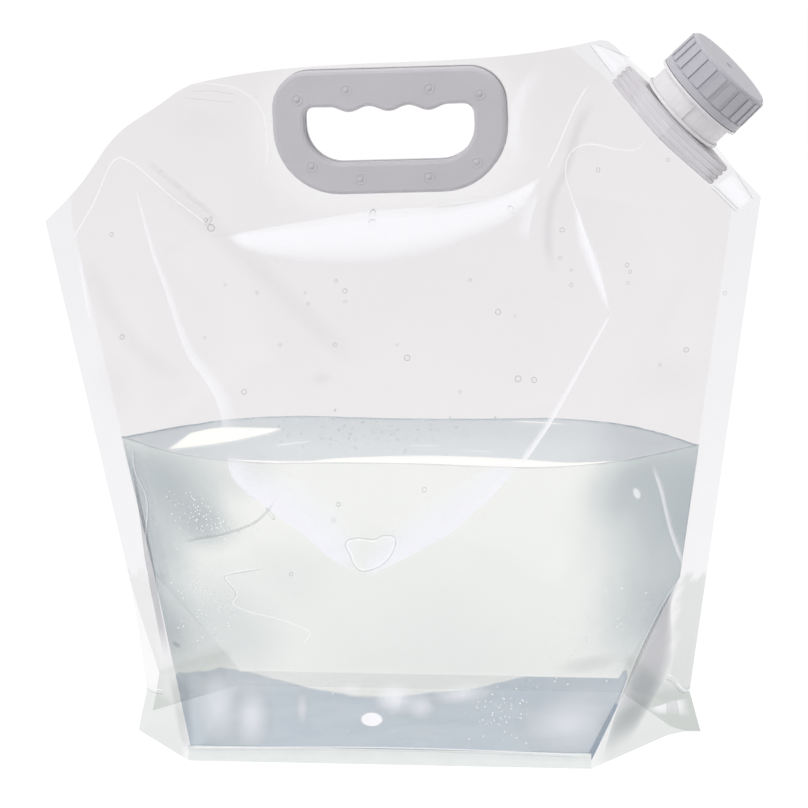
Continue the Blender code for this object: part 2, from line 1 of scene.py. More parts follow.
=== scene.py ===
# %% [markdown]
# A collapsible water carrier stands on a pale floor. It is a pouch of clear
# film with a folded bottom, a grey two-piece snap handle through its top seam,
# and a screw-capped spout welded in one cut corner. Some water stands in it.
# The engineering solids come first, as a fixed frame that this lesson never
# moves. Rigid mouldings keep their solids and get a finish. The films are soft,
# so finer sheets made here stand for them.

# %% Load the frame
import math
import random

import bmesh
import bpy
from mathutils import Matrix, Vector


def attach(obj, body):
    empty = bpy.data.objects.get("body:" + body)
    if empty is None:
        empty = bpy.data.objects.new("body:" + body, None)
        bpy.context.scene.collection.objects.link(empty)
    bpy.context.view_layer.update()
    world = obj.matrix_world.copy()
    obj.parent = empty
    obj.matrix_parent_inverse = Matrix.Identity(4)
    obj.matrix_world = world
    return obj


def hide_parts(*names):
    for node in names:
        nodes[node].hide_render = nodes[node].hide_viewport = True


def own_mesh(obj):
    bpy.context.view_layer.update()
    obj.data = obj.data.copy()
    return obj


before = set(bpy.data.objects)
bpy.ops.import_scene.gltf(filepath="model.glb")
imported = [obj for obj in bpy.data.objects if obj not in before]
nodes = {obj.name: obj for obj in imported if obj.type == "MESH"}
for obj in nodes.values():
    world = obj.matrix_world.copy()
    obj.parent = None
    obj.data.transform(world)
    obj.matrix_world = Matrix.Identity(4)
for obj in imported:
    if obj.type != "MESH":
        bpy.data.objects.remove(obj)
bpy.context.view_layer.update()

# %% [markdown]
# All lengths are metres. The first group of sizes is the pouch's own: they are
# the ones that its solids were drawn with, so that a sheet made here lies just
# where its solid does. Keeping them together makes the shape easy to retune.

# %% Sizes of the pouch
MM = 0.001
FILM_MIDDLE = 0.35 * MM  # from the pouch's middle plane to a closed film's middle
POUCH_HEIGHT = 310.5 * MM
SHOULDER_HALF = 165 * MM
NOTCH_HALF, NOTCH_HEIGHT = 125.5 * MM, 19 * MM
FOOT_HALF = 130 * MM
CORNER_CUT, CUT_ROUNDING = 67.5 * MM, 5 * MM
SEAL_WIDTH = 11 * MM
GUSSET_REACH, GUSSET_RISE = 72 * MM, 72 * MM
HEM_HALF, HEM_HEIGHT, HEM_SHIFT, HEM_BLEND = 92 * MM, 7 * MM, -5.5 * MM, 9 * MM
BULGE_POWER, FLANK_POWER, FLANK_EASE = 3.0, 4.5, 1.3
WAIST_DIP_SHARE, WAIST_DIP_HALF = 0.11, 58 * MM
SEAL_BORDER_SLOPE, BULGE_TOP = 0.10, 243.1 * MM
EVEN_ROWS_TOP = 170 * MM
LEAN, TOP_SLOPE, CORNER_LIFT = 8.8 * MM, 0.043, 7.5 * MM
BOAT_HALF, BOAT_DEPTH_HALF, BOAT_TIP, BOAT_POWER = 32.5 * MM, 15 * MM, 0.9 * MM, 1.35
BOAT_FOOT = 12.8 * MM
WELD_ROOM = 1.2 * MM
THROAT_LENGTH, THROAT_SPREAD_SHARE, SPOUT_SHIFT = 55 * MM, 0.4, -2.0 * MM
CURL_X, CURL_Z, CURL_REACH, CURL_PUSH = -131 * MM, 270 * MM, 22 * MM, 4 * MM
SHOULDER_HEIGHT = POUCH_HEIGHT - CORNER_CUT
TOP_HALF = SHOULDER_HALF - CORNER_CUT
WATER_LEVEL = 134.6 * MM
print("pouch", round(2 * SHOULDER_HALF / MM), "by", round(POUCH_HEIGHT / MM, 1), "mm")

# %% [markdown]
# The pouch is first worked out as if it stood straight. Each formula gives one
# line or depth of it: where the side seal ends, where the gusset's crease runs,
# how far the film stands off the middle plane. Then one last formula lets the
# whole pouch lean and slump, as the real one does under its own weight.


# %% Helpers for numbers
def clamp(value, low=0.0, high=1.0):
    return max(low, min(high, value))


def smooth(value):
    """A share held between 0 and 1 that starts and ends gently."""
    value = clamp(value)
    return value * value * (3 - 2 * value)


def mix(a, b, share):
    return a + (b - a) * share


def eased_shares(count):
    """Shares from -1 to 1 in even turns, so closer together towards both ends."""
    return [math.sin(math.pi / 2 * (2 * step / count - 1)) for step in range(count + 1)]


print("a quarter of the way eases to", smooth(0.25))


# %% Lines of the pouch
def half_width(height):
    """Outer edge of the side seal, with the small waist just above the foot."""
    if height < NOTCH_HEIGHT:
        return mix(FOOT_HALF, NOTCH_HALF, height / NOTCH_HEIGHT)
    rise = (height - NOTCH_HEIGHT) / (SHOULDER_HEIGHT - NOTCH_HEIGHT)
    return mix(NOTCH_HALF, SHOULDER_HALF, clamp(rise))


def crease_share(height):
    return clamp((height - HEM_HEIGHT) / (GUSSET_RISE - HEM_HEIGHT))


def inner_line(height):
    """The gusset's crease below its peak, and the seal's inner edge above."""
    if height < GUSSET_RISE:
        peak = half_width(GUSSET_RISE) - SEAL_WIDTH
        return mix(HEM_HALF, peak, crease_share(height))
    return half_width(height) - SEAL_WIDTH


def crease_depth(height):
    return GUSSET_REACH * (1 - crease_share(height))


def crease_shift(height):
    return HEM_SHIFT * (1 - crease_share(height))


def seal_border(x):
    """Where the films part, below the sealed field round the handle."""
    return BULGE_TOP + SEAL_BORDER_SLOPE * x


def top_edge(x):
    cut = POUCH_HEIGHT + TOP_HALF - abs(x)
    below = clamp((POUCH_HEIGHT - cut) / (2 * CUT_ROUNDING) + 0.5)
    return mix(POUCH_HEIGHT, cut, below) - CUT_ROUNDING * below * (1 - below)


print("half width at the gusset's peak", round(half_width(GUSSET_RISE) / MM, 1), "mm")


# %% Depths of the pouch
def bulge_depth(x, height):
    top = seal_border(x)
    full = GUSSET_REACH * clamp(1 - (height / top) ** BULGE_POWER)
    dip = WAIST_DIP_SHARE * clamp(1 - (x / WAIST_DIP_HALF) ** 2)
    return full * (1 - dip * math.sin(math.pi * clamp(height / top)))


def film_depth(x, height):
    inner, foot = inner_line(height), crease_depth(height)
    offset = x - crease_shift(height)
    if abs(offset) >= inner:
        edge = half_width(height) - math.copysign(crease_shift(height), offset)
        return foot * clamp((edge - abs(offset)) / (edge - inner))
    flank = (1 - (abs(offset) / inner) ** FLANK_POWER) ** FLANK_EASE
    return foot + (max(bulge_depth(x, height), foot) - foot) * flank


def throat_depth(x, height):
    """How far the film stands off where it wraps the weld base and closes below it."""
    middle = SHOULDER_HALF - CORNER_CUT / 2
    middle_height = POUCH_HEIGHT - CORNER_CUT / 2
    along = ((x - middle) - (height - middle_height)) / math.sqrt(2) - SPOUT_SHIFT
    inwards = ((middle + middle_height) - (x + height)) / math.sqrt(2)
    below = clamp((inwards - BOAT_FOOT) / THROAT_LENGTH)
    spread = abs(along) / (1 + THROAT_SPREAD_SHARE * below)
    if spread >= BOAT_HALF:
        return 0.0
    boat = mix(BOAT_DEPTH_HALF, BOAT_TIP, (spread / BOAT_HALF) ** BOAT_POWER)
    return (boat + WELD_ROOM) * (1 - smooth(below))


print("film stands off", round(film_depth(0, 0.1) / MM, 1), "mm at 100 mm up")

# %% How the pouch leans and slumps
SLUMP_STEPS = 10


def slumped(x, height):
    """Place of a point of the straight pouch once the pouch leans as it stands."""
    slope = TOP_SLOPE * smooth(height / SHOULDER_HEIGHT)
    corner = clamp(x / TOP_HALF, -1, 1) ** 3
    rise = clamp((height - SHOULDER_HEIGHT) / CORNER_CUT)
    lifted = height + slope * x + CORNER_LIFT * corner * rise
    return x - LEAN * height / POUCH_HEIGHT, lifted


def unslumped(place_x, place_z):
    """Point of the straight pouch that slumps to a place, found step by step."""
    height = place_z
    for _ in range(SLUMP_STEPS):
        x = place_x + LEAN * height / POUCH_HEIGHT
        height += place_z - slumped(x, height)[1]
    return x, height


def film_place(x, height, side, proud=0.0):
    """A point of a film. side is -1 in front and 1 behind."""
    depth = max(film_depth(x, height), throat_depth(x, height)) + proud
    place_x, place_z = slumped(x, height)
    off = math.hypot(place_x - CURL_X, place_z - CURL_Z) / CURL_REACH
    curl = CURL_PUSH * math.exp(-off * off)
    return Vector((place_x - curl, side * (FILM_MIDDLE + depth), place_z + curl))


def on_front(place_x, place_z, proud):
    """A point of the front film seen at a place, a little in front of it."""
    x, height = unslumped(place_x, place_z)
    return film_place(x, height, -1, proud)


print("the top's middle leans to", round(slumped(0, POUCH_HEIGHT)[0] / MM, 1), "mm")

# %% [markdown]
# A finish is a small network of shader nodes. Written node by node it is hard
# to read, so one class wraps an output socket and lets plain sums stand for
# Math nodes, and one method makes any other node. From here on, a finish reads
# as a formula.


# %% Shader sums as plain expressions
WHITE = (1, 1, 1, 1)
GRAZING_POWER = 5  # how late a clear surface turns shiny towards its edge
PATCHY_LEAST, PATCHY_SPREAD = 0.85, 0.3


class Wire:
    """A node's output. Sums with it add Math nodes."""

    def __init__(self, finish, socket):
        self.finish, self.socket = finish, socket

    def math(self, operation, first, second=0.0, clamped=False):
        settings = {"operation": operation, "use_clamp": clamped}
        return self.finish.node("Math", settings, {0: first, 1: second})

    def __add__(self, other):
        return self.math("ADD", self, other)

    def __sub__(self, other):
        return self.math("SUBTRACT", self, other)

    def __rsub__(self, other):
        return self.math("SUBTRACT", other, self)

    def __mul__(self, other):
        return self.math("MULTIPLY", self, other)

    def __truediv__(self, other):
        return self.math("DIVIDE", self, other)

    def __pow__(self, other):
        return self.math("POWER", self, other)

    def __rtruediv__(self, other):
        return self.math("DIVIDE", other, self)

    def __rpow__(self, other):
        return self.math("POWER", other, self)

    __radd__, __rmul__ = __add__, __mul__

    def kept(self):
        """The value held between 0 and 1."""
        return self.math("ADD", self, 0.0, True)

    def bigger(self, other):
        return self.math("MAXIMUM", self, other)

    def smaller(self, other):
        return self.math("MINIMUM", self, other)


class Finish:
    """A material under construction, or a world where kind is "worlds"."""

    def __init__(self, name, kind="materials"):
        self.owner = getattr(bpy.data, kind).new(name)
        self.owner.use_nodes = True
        self.tree = self.owner.node_tree
        self.tree.nodes.clear()

    def node(self, kind, settings=None, inputs=None, output=0):
        """Any node: its type, its settings, and the values or wires of its sockets."""
        made = self.tree.nodes.new("ShaderNode" + kind)
        for key, value in (settings or {}).items():
            setattr(made, key, value)
        for key, value in (inputs or {}).items():
            if isinstance(value, Wire):
                self.tree.links.new(value.socket, made.inputs[key])
            else:
                made.inputs[key].default_value = value
        return Wire(self, made.outputs[output])

    def place(self):
        return self.node("TexCoord", output="Object")

    def noise(self, scale, detail=2.0, rough=0.5):
        inputs = {"Vector": self.place(), "Scale": scale, "Detail": detail,
                  "Roughness": rough}
        return self.node("TexNoise", {}, inputs, "Fac")

    def patchy(self, strength, scale, detail=2.0, rough=0.5):
        """A strength that wavers a little from place to place, held between 0 and 1."""
        waver = PATCHY_LEAST + PATCHY_SPREAD * self.noise(scale, detail, rough)
        return (strength * waver).kept()

    def bump(self, height, distance):
        return self.node("Bump", {}, {"Height": height, "Distance": distance})

    def part(self, axis):
        """One coordinate of the piece's own space, in metres."""
        return self.node("SeparateXYZ", {}, {0: self.place()}, axis)

    def stored(self, name):
        """A number that the mesh keeps at each of its points."""
        return self.node("Attribute", {"attribute_name": name}, {}, "Fac")

    def clear(self, passes):
        return self.node("BsdfTransparent", {}, {"Color": (*passes, 1)})

    def mirror(self, rough, colour=WHITE):
        return self.node("BsdfGlossy", {}, {"Color": colour, "Roughness": rough})

    def facing(self):
        return self.node("LayerWeight", {}, {"Blend": 0.5}, "Facing")

    def sheen_share(self, straight_on):
        """How much a clear surface reflects: little head on, all at a glance."""
        return straight_on + (1 - straight_on) * self.facing() ** GRAZING_POWER

    def either(self, share, first, second):
        return self.node("MixShader", {}, {0: share, 1: first, 2: second})

    def blend(self, share, first, second):
        """Two colours or colour wires mixed."""
        inputs = {0: share, 6: first, 7: second}
        return self.node("Mix", {"data_type": "RGBA"}, inputs, 2)

    def done(self, surface, output="OutputMaterial"):
        out = self.tree.nodes.new("ShaderNode" + output)
        self.tree.links.new(surface.socket, out.inputs["Surface"])
        return self.owner


def linear(red, green, blue, alpha=1.0):
    """An everyday screen colour, 0 to 255, as the light value that nodes want."""
    parts = [c / 255 for c in (red, green, blue)]
    values = [c / 12.92 if c <= 0.04045 else ((c + 0.055) / 1.055) ** 2.4 for c in parts]
    return (*values, alpha)


print("screen grey 128 is light value", round(linear(128, 128, 128)[0], 3))

# %% [markdown]
# Clear film is mostly not there: light goes through it, loses a little, and a
# small part bounces off, more at a glancing angle. A Transparent shader mixed
# with a Glossy one does that for a sheet of a single layer, where real glass
# would need both of its sides. Where water wets the film from behind, less light
# is lost, so the film is clearer below the water line. Three numbers kept in the
# mesh add what its shape can't: "pale" is a painted sheen round the handle, a
# zone that mirrors more of the white world and so looks paler, "seal" is the
# welded band along the edges, a little clearer than slack film, and "deep" is the
# darker tone where more layers overlap, with painted shade added on the
# right-hand weld beside the gusset.

# %% Film finishes
FILM_PASS = (0.899, 0.889, 0.894)
WET_PASS = (0.982, 0.985, 0.978)
SEAL_PASS = (0.923, 0.917, 0.926)
DEEP_PASS = (0.65, 0.685, 0.655)
WET_TOP, WET_EDGE = WATER_LEVEL + 0.6 * MM, 0.5 * MM
CLOUD_STRENGTH, CLOUD_MIDDLE = 0.10, 0.42  # of the soft clouds in the deep tone
FILM_SHINE, PALE_SHINE = 0.03, 0.5  # share of the light that bounces off, seen head on


def film_finish(name, glances, rough):
    """glances is how shiny the film is edge on."""
    finish = Finish(name)
    cloud = finish.noise(scale=18, detail=3)
    wet = ((WET_TOP - finish.part(2)) / WET_EDGE).kept()
    body = finish.either(wet, finish.clear(FILM_PASS), finish.clear(WET_PASS))
    body = finish.either(finish.stored("seal").kept(), body, finish.clear(SEAL_PASS))
    deep = (finish.stored("deep") + CLOUD_STRENGTH * (cloud - CLOUD_MIDDLE)).kept()
    body = finish.either(deep, body, finish.clear(DEEP_PASS))
    gloss = finish.mirror(rough)
    glance = glances * finish.facing() ** GRAZING_POWER
    shine = FILM_SHINE + glance + PALE_SHINE * finish.stored("pale")
    return finish.done(finish.either(shine.kept(), body, gloss))


film_clear = film_finish("clear film", glances=0.38, rough=0.12)
film_floor = film_finish("floor film", glances=0, rough=0.2)
print("film finishes ready")

# %% [markdown]
# The two straight strips at the bottom are a panel and the gusset welded into
# one. A weld is a little milky, and where it faces the lamps it also has a painted
# sheen, so a rough glossy shader of a fixed pale colour is mixed in. The front
# strip faces the lamps and is mostly this milk and painted sheen. The rear one is
# seen through the whole bag and has to stay nearly clear.

# %% Finishes of the welded strips
HEM_PASS = (0.97, 0.97, 0.975)
HEM_MILK_SHEEN = linear(240, 243, 242)


def hem_finish(name, milk_and_sheen):
    """The second argument is the share of the strip's look that is milk and painted sheen."""
    finish = Finish(name)
    share = finish.patchy(milk_and_sheen, scale=60, detail=3)
    milk_sheen = finish.mirror(0.5, HEM_MILK_SHEEN)
    return finish.done(finish.either(share, finish.clear(HEM_PASS), milk_sheen))


# the front strip gets much more of the milk and painted sheen, as it faces the lamps
hem_front = hem_finish("front welded hem", milk_and_sheen=0.78)
hem_rear = hem_finish("rear welded hem", milk_and_sheen=0.03)
print("strip finishes ready")

# %% [markdown]
# The mouldings are polypropylene: satin, very slightly mottled, with the fine
# grain that a spark-eroded mould leaves. The grain goes in as bump, and the
# mottling as a small shift of colour and roughness.


# %% Moulding finishes
MOTTLE_SCALE, GRAIN_SCALE = 26, 1900  # waves to a metre, about
ROUGH_SPREAD = 0.06


def moulded_finish(name, pale, deep, rough, grain, alpha=1.0):
    """grain is the height of the mould's grain, in metres."""
    finish = Finish(name)
    mottle = finish.noise(MOTTLE_SCALE, detail=3)
    fine = finish.noise(GRAIN_SCALE, detail=2, rough=0.6)
    inputs = {
        "Base Color": finish.blend(mottle, deep, pale),
        "Roughness": (rough - ROUGH_SPREAD + 2 * ROUGH_SPREAD * mottle).kept(),
        "Normal": finish.bump(fine, grain),
        "Alpha": alpha,
    }
    return finish.done(finish.node("BsdfPrincipled", {}, inputs))


handle_grey = moulded_finish(
    "handle grey", linear(183, 181, 186), linear(175, 172, 177), rough=0.45, grain=0.04 * MM)
cap_grey = moulded_finish(
    "cap grey", linear(174, 173, 180), linear(165, 164, 171), rough=0.42, grain=0.04 * MM)
spout_milky = moulded_finish(
    "spout natural", linear(224, 222, 225), linear(213, 210, 213), rough=0.36,
    grain=0.03 * MM, alpha=0.9)
foam_white = moulded_finish(
    "liner foam", linear(240, 240, 236), linear(230, 230, 226), rough=0.85, grain=0.12 * MM)
print("moulding finishes ready")

# %% [markdown]
# Water in a clear bag shows by its edges. Head on it is almost as bright as the
# empty bag. Towards both sides it bends the light away and turns grey, and its
# floor shows through it as a blue-grey field with a crisp border. Bending real
# light through so many films is slow and noisy, so the water's skin carries
# these tints itself. Its mesh keeps a number "shade" at each point, and the wall,
# the surface and its rim mix a pale and a deep clear shader by it. The skin over
# the floor works out its field's border from the place alone.

# %% Water finishes
WALL_PASS, WALL_DEEP = (0.932, 0.934, 0.929), (0.54, 0.585, 0.615)
TOP_PASS, TOP_DEEP = (0.83, 0.89, 0.925), (0.555, 0.61, 0.66)
RIM_DEEP = (0.45, 0.48, 0.52)
WATER_SHINE = 0.02  # the share of the light that water mirrors, seen head on
ZONE_PASS = (0.585, 0.64, 0.715)
ZONE_LEVEL, ZONE_BEND, ZONE_MIDDLE, ZONE_MOST = 0.0114, 2.1, -0.027, 0.026
ZONE_FALL = 0.19  # the border's drop towards the front, per length
ZONE_RIGHT, ZONE_SLOPE = 0.2251, 2.2  # the steep line that ends the field at the right
ZONE_RIPPLE, ZONE_EDGE = 4 * MM, 0.9 * MM
DAPPLE_STRENGTH, DAPPLE_START = 0.9, 0.35


def water_finish(name, pale, deep, rough):
    """pale and deep are the light that passes where shade is 0 and 1."""
    finish = Finish(name)
    shade = finish.patchy(finish.stored("shade"), scale=38, detail=4, rough=0.6)
    body = finish.either(shade, finish.clear(pale), finish.clear(deep))
    gloss = finish.mirror(rough)
    return finish.done(finish.either(finish.sheen_share(WATER_SHINE), body, gloss))


def water_floor_finish():
    """Clear water, with a painted blue-grey field below a curved border."""
    finish = Finish("water over the floor")
    x, y, z = (finish.part(axis) for axis in range(3))
    off = x - ZONE_MIDDLE
    border = (ZONE_LEVEL + ZONE_BEND * (off * off)).smaller(ZONE_MOST)
    border = border.smaller(ZONE_RIGHT - ZONE_SLOPE * x)
    ripple = ZONE_RIPPLE * (finish.noise(scale=30) - 0.5)
    inside = ((border + ripple - z - ZONE_FALL * y) / ZONE_EDGE).kept()
    # the field is a painted tint for the light that the water bends, and its pale dapples are
    # painted light where the floor's folds turn to the lamps
    fold_light = finish.noise(scale=26, detail=3, rough=0.55)
    dapple = (DAPPLE_STRENGTH * (fold_light - DAPPLE_START)).kept()
    half_clear = [0.5 + 0.5 * c for c in ZONE_PASS]
    zone = finish.either(dapple, finish.clear(ZONE_PASS), finish.clear(half_clear))
    return finish.done(finish.either(inside, finish.clear(WALL_PASS), zone))


water_wall = water_finish("water against the film", WALL_PASS, WALL_DEEP, rough=0.05)
water_top = water_finish("water surface", TOP_PASS, TOP_DEEP, rough=0.02)
water_rim = water_finish("water rim", TOP_DEEP, RIM_DEEP, rough=0.02)
water_floor = water_floor_finish()
print("water finishes ready")

# %% [markdown]
# The film's creases and slack fields catch the studio's lamps as pale streaks
# and lie in shade beside them. They are drawn as thin patches a hair in front of
# the film. A number "cover" in the mesh says how strong a patch is at each
# point, so its one edge can be crisp and the other fade out.


# %% Finishes for streaks, drops and bubbles
ALL_LIGHT = (1, 1, 1)  # what passes where a patch is not there
RIM_POWER = 1.6  # how narrow a drop's dark rim is


def glint_finish(name, colour, strength=1.0):
    """A lamp's mirror image on film or water, strongest where cover is 1."""
    finish = Finish(name)
    cover = finish.patchy(finish.stored("cover"), scale=30, detail=3)
    pale = finish.node("Emission", {}, {"Color": colour, "Strength": strength})
    return finish.done(finish.either(cover, finish.clear(ALL_LIGHT), pale))


def shade_finish(name, passes):
    """A patch that only takes light away, most where cover is 1."""
    finish = Finish(name)
    cover = finish.patchy(finish.stored("cover"), scale=30, detail=3)
    return finish.done(finish.either(cover, finish.clear(ALL_LIGHT), finish.clear(passes)))


def bead_finish(name, heart, rim, straight_on):
    """A drop or bubble: clear in the middle, dark round its rim."""
    finish = Finish(name)
    edge = finish.facing() ** RIM_POWER
    body = finish.either(edge.kept(), finish.clear(heart), finish.clear(rim))
    gloss = finish.mirror(0.08)
    return finish.done(finish.either(finish.sheen_share(straight_on), body, gloss))


glint = glint_finish("film glint", linear(252, 251, 255))
# a softer painted highlight, for the glow inside the V below the water line
soft_glint = glint_finish("film soft glint", linear(244, 244, 251))
water_glint = glint_finish("water glint", linear(255, 254, 250), strength=1.16)
shadow = shade_finish("film shade", (0.74, 0.73, 0.74))
dark_line = shade_finish("dark line", (0.50, 0.51, 0.53))
drop_clear = bead_finish("drop", (0.99, 0.99, 0.99), (0.26, 0.27, 0.29), straight_on=0.04)
bubble_white = bead_finish("bubble", ALL_LIGHT, (0.35, 0.38, 0.40), straight_on=0.6)
print("streak and drop finishes ready")

# %% [markdown]
# The handle's two shells clamp the top seam, so the film has a hole where the
# fingers go. The sheets leave out every face inside the grip, a little beyond
# its edge, where the handle hides the cut. Places on the handle are given in its
# own tilted frame: along it and up it from its middle.

# %% The handle's frame
HANDLE_CENTRE = Vector((-10.724 * MM, 0, 279.480 * MM))
HANDLE_TILT = math.radians(1.9465)
HANDLE_HALF, HANDLE_RISE, HANDLE_FACE = 53.6 * MM, 28.5 * MM, 5.45 * MM
GRIP_LEFT, GRIP_RIGHT = -39.05 * MM, 39.05 * MM
GRIP_LOW, GRIP_HIGH = -13.96 * MM, 11.84 * MM
ALONG = Vector((math.cos(HANDLE_TILT), 0, math.sin(HANDLE_TILT)))
UP = Vector((-math.sin(HANDLE_TILT), 0, math.cos(HANDLE_TILT)))


def in_grip(point, margin):
    """True if a point lies in the grip's opening grown by margin."""
    along, up = (point - HANDLE_CENTRE).dot(ALONG), (point - HANDLE_CENTRE).dot(UP)
    inside_run = GRIP_LEFT - margin < along < GRIP_RIGHT + margin
    return inside_run and GRIP_LOW - margin < up < GRIP_HIGH + margin


def off_handle(point):
    """Distance from the handle's outline, 0 inside it."""
    along, up = (point - HANDLE_CENTRE).dot(ALONG), (point - HANDLE_CENTRE).dot(UP)
    side = max(abs(along) - (HANDLE_HALF - HANDLE_RISE), 0.0)
    return max(math.hypot(side, up) - HANDLE_RISE, 0.0)


# %% [markdown]
# Each film is one lofted sheet. Its columns follow the side seals and its rows
# follow the creases, so every border of the pouch lies on a line of the grid.
# Fine rows cost little and keep the bulge smooth in the mirror of a highlight.

# %% Columns and rows of a sheet
FACE_COLUMNS, FLAP_COLUMNS = 110, 6
STRIP_ROWS, FOLD_ROWS, BELLY_ROWS, SHOULDER_ROWS, SEAL_ROWS = 2, 22, 32, 26, 34
HIGHEST_BORDER_SHARE = 0.58  # of the run above the even rows, where the top is cut low


def sheet_columns():
    """Shares across the pouch: up to 1 between the inner lines, past 1 on a flap."""
    flaps = [1 + (step + 1) / FLAP_COLUMNS for step in range(FLAP_COLUMNS)]
    return [-share for share in reversed(flaps)] + eased_shares(FACE_COLUMNS) + flaps


def sheet_rows(x):
    """Heights of a column's points, with one row on each crease and border."""
    edge = top_edge(x)
    border = min(seal_border(x), mix(EVEN_ROWS_TOP, edge, HIGHEST_BORDER_SHARE))
    lines = [0.0, HEM_HEIGHT, GUSSET_RISE, EVEN_ROWS_TOP, border, edge]
    counts = [STRIP_ROWS, FOLD_ROWS, BELLY_ROWS, SHOULDER_ROWS, SEAL_ROWS]
    rows = [0.0]
    for low, high, count in zip(lines, lines[1:], counts):
        rows += [mix(low, high, (step + 1) / count) for step in range(count)]
    return rows


def across(share, height):
    """Place across the straight pouch of a share, at a height."""
    if abs(share) <= 1:
        return crease_shift(height) + share * inner_line(height)
    inner = crease_shift(height) + math.copysign(inner_line(height), share)
    return mix(inner, math.copysign(half_width(height), share), abs(share) - 1)


print("a sheet has", len(sheet_columns()), "columns and", len(sheet_rows(0)), "rows")

# %% [markdown]
# Every mesh made here goes the same way: faces are laid between the points of a
# grid, the mesh becomes a named piece, and the piece rides on the pouch's body.
# A film has no thickness of its own here, because its finish stands for it.


# %% From a grid to a named piece
def finish_piece(name, shape, surfaces):
    """A mesh made here becomes a named piece that rides on the pouch."""
    mesh = bpy.data.meshes.new(name)
    bmesh.ops.recalc_face_normals(shape, faces=shape.faces)
    shape.to_mesh(mesh)
    shape.free()
    for surface in surfaces:
        mesh.materials.append(surface)
    piece = bpy.data.objects.new(name, mesh)
    bpy.context.scene.collection.objects.link(piece)
    mesh.shade_smooth()
    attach(piece, "pouch")
    print(name, len(mesh.polygons), "faces")
    return piece


def grid_faces(shape, grid):
    """Faces between neighbouring points of a list of rows. Returns them by place."""
    made = {}
    for row in range(len(grid) - 1):
        for column in range(len(grid[0]) - 1):
            corners = [grid[row][column], grid[row][column + 1],
                       grid[row + 1][column + 1], grid[row + 1][column]]
            made[row, column] = shape.faces.new(corners)
    return made


def fold_flat(piece):
    """Gives the piece a mesh of its own."""
    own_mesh(piece)


print("helpers for pieces ready")

# %% [markdown]
# The sheets keep their tones point by point, because they follow the pouch's own
# lines and not its shape. A band along the side seals and the right-hand cut is
# welded. Beside the gusset four layers lie in that weld, and at the feet a flap
# of folded film stands behind the front one, so both places are darker. The
# right-hand weld beside the gusset also gets painted shade, so it is darker than
# the left one.

# %% Tones kept in a film
HALO_REACH, HALO_STRENGTH = 17 * MM, 0.42
FLAP_TOP, FLAP_BLEND, FLAP_DEEP = 24 * MM, 6 * MM, 0.55
WELD_BEAD = 2.0 * MM  # film squeezed out of the weld, along its inner edge
# deep tone of the four-layer weld beside the gusset, with painted shade making the right one
# darker
LAYERS_AND_SHADE_RIGHT, LAYERS_AND_SHADE_LEFT = 0.28, 0.12


def seal_band(x, height):
    """How far a point is inside the welded band along the edges."""
    side = half_width(height) - abs(x)
    if x > 0:
        side = min(side, (POUCH_HEIGHT + TOP_HALF - x - height) / math.sqrt(2))
    if height < GUSSET_RISE:
        flap = abs(x - crease_shift(height)) - inner_line(height)
        return max(SEAL_WIDTH - side, flap) + WELD_BEAD
    return SEAL_WIDTH - side + WELD_BEAD


def film_tones(shape):
    """Keeps the film's pale and deep zones and its seal bands in its mesh."""
    pale, deep, seal = (
        shape.verts.layers.float.new(name) for name in ("pale", "deep", "seal"))
    for vert in shape.verts:
        x, height = unslumped(vert.co.x, vert.co.z)
        vert[seal] = seal_band(x, height) / MM
        # pale: a painted sheen that fades out away from the handle's outline
        vert[pale] = HALO_STRENGTH * smooth(1 - off_handle(vert.co) / HALO_REACH)
        foot = smooth((FLAP_TOP - vert.co.z) / FLAP_BLEND)
        outside = smooth((abs(vert.co.x - HEM_SHIFT) - HEM_HALF) / FLAP_BLEND)
        vert[deep] = FLAP_DEEP * foot * outside
        # the four-layer weld, darker on the right as painted shade
        if height < GUSSET_RISE and half_width(height) - abs(x) < SEAL_WIDTH:
            vert[deep] = max(vert[deep], LAYERS_AND_SHADE_RIGHT if x > 0 else LAYERS_AND_SHADE_LEFT)


edge_band = seal_band(half_width(EVEN_ROWS_TOP), EVEN_ROWS_TOP)
print("the weld's band is", round(edge_band / MM, 1), "mm wide")

# %% [markdown]
# Now the two sheets are lofted. The faces that the handle's grip cuts out and
# the ones that the bottom strips stand for are left out, and each sheet takes
# the place of its panel's solid.

# %% The film sheets
GRIP_MARGIN = 3 * MM  # the handle hides the cut's edge


def film_sheet(name, side, node):
    """One panel as a sheet. side is -1 in front and 1 behind."""
    shape = bmesh.new()
    columns = sheet_columns()
    grid = []
    for row in range(len(sheet_rows(0))):
        line = []
        for share in columns:
            height = sheet_rows(across(share, SHOULDER_HEIGHT))[row]
            line.append(shape.verts.new(film_place(across(share, height), height, side)))
        grid.append(line)
    drop = []
    for (row, column), face in grid_faces(shape, grid).items():
        share = (columns[column] + columns[column + 1]) / 2
        in_strip = abs(share) < 1 and row < STRIP_ROWS
        if in_strip or in_grip(face.calc_center_median(), GRIP_MARGIN):
            drop.append(face)
    bmesh.ops.delete(shape, geom=drop, context="FACES")
    film_tones(shape)
    piece = finish_piece(name, shape, [film_clear])
    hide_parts(node)
    fold_flat(piece)


film_sheet("film_front", -1, "front_panel")
film_sheet("film_rear", 1, "rear_panel")

# %% [markdown]
# The gusset is a third film between the two: flat on the ground in the middle,
# and folded up into a steep triangle at each end. Its grid runs from the left
# peak down the crease, along the front strip, and up to the right peak, with
# rungs across to the rear. The water's underside is the same grid moved inwards,
# so one function makes both.

# %% The gusset and the water share one floor
FLOOR_ROWS, FLOOR_RUNGS = 14, 20
WATER_COLUMNS = eased_shares(72)
GUSSET_ROOM, GUSSET_LIFT = 1.4 * MM, 0.2 * MM
GUSSET_JOIN = 0.02 * MM  # points nearer than this become one


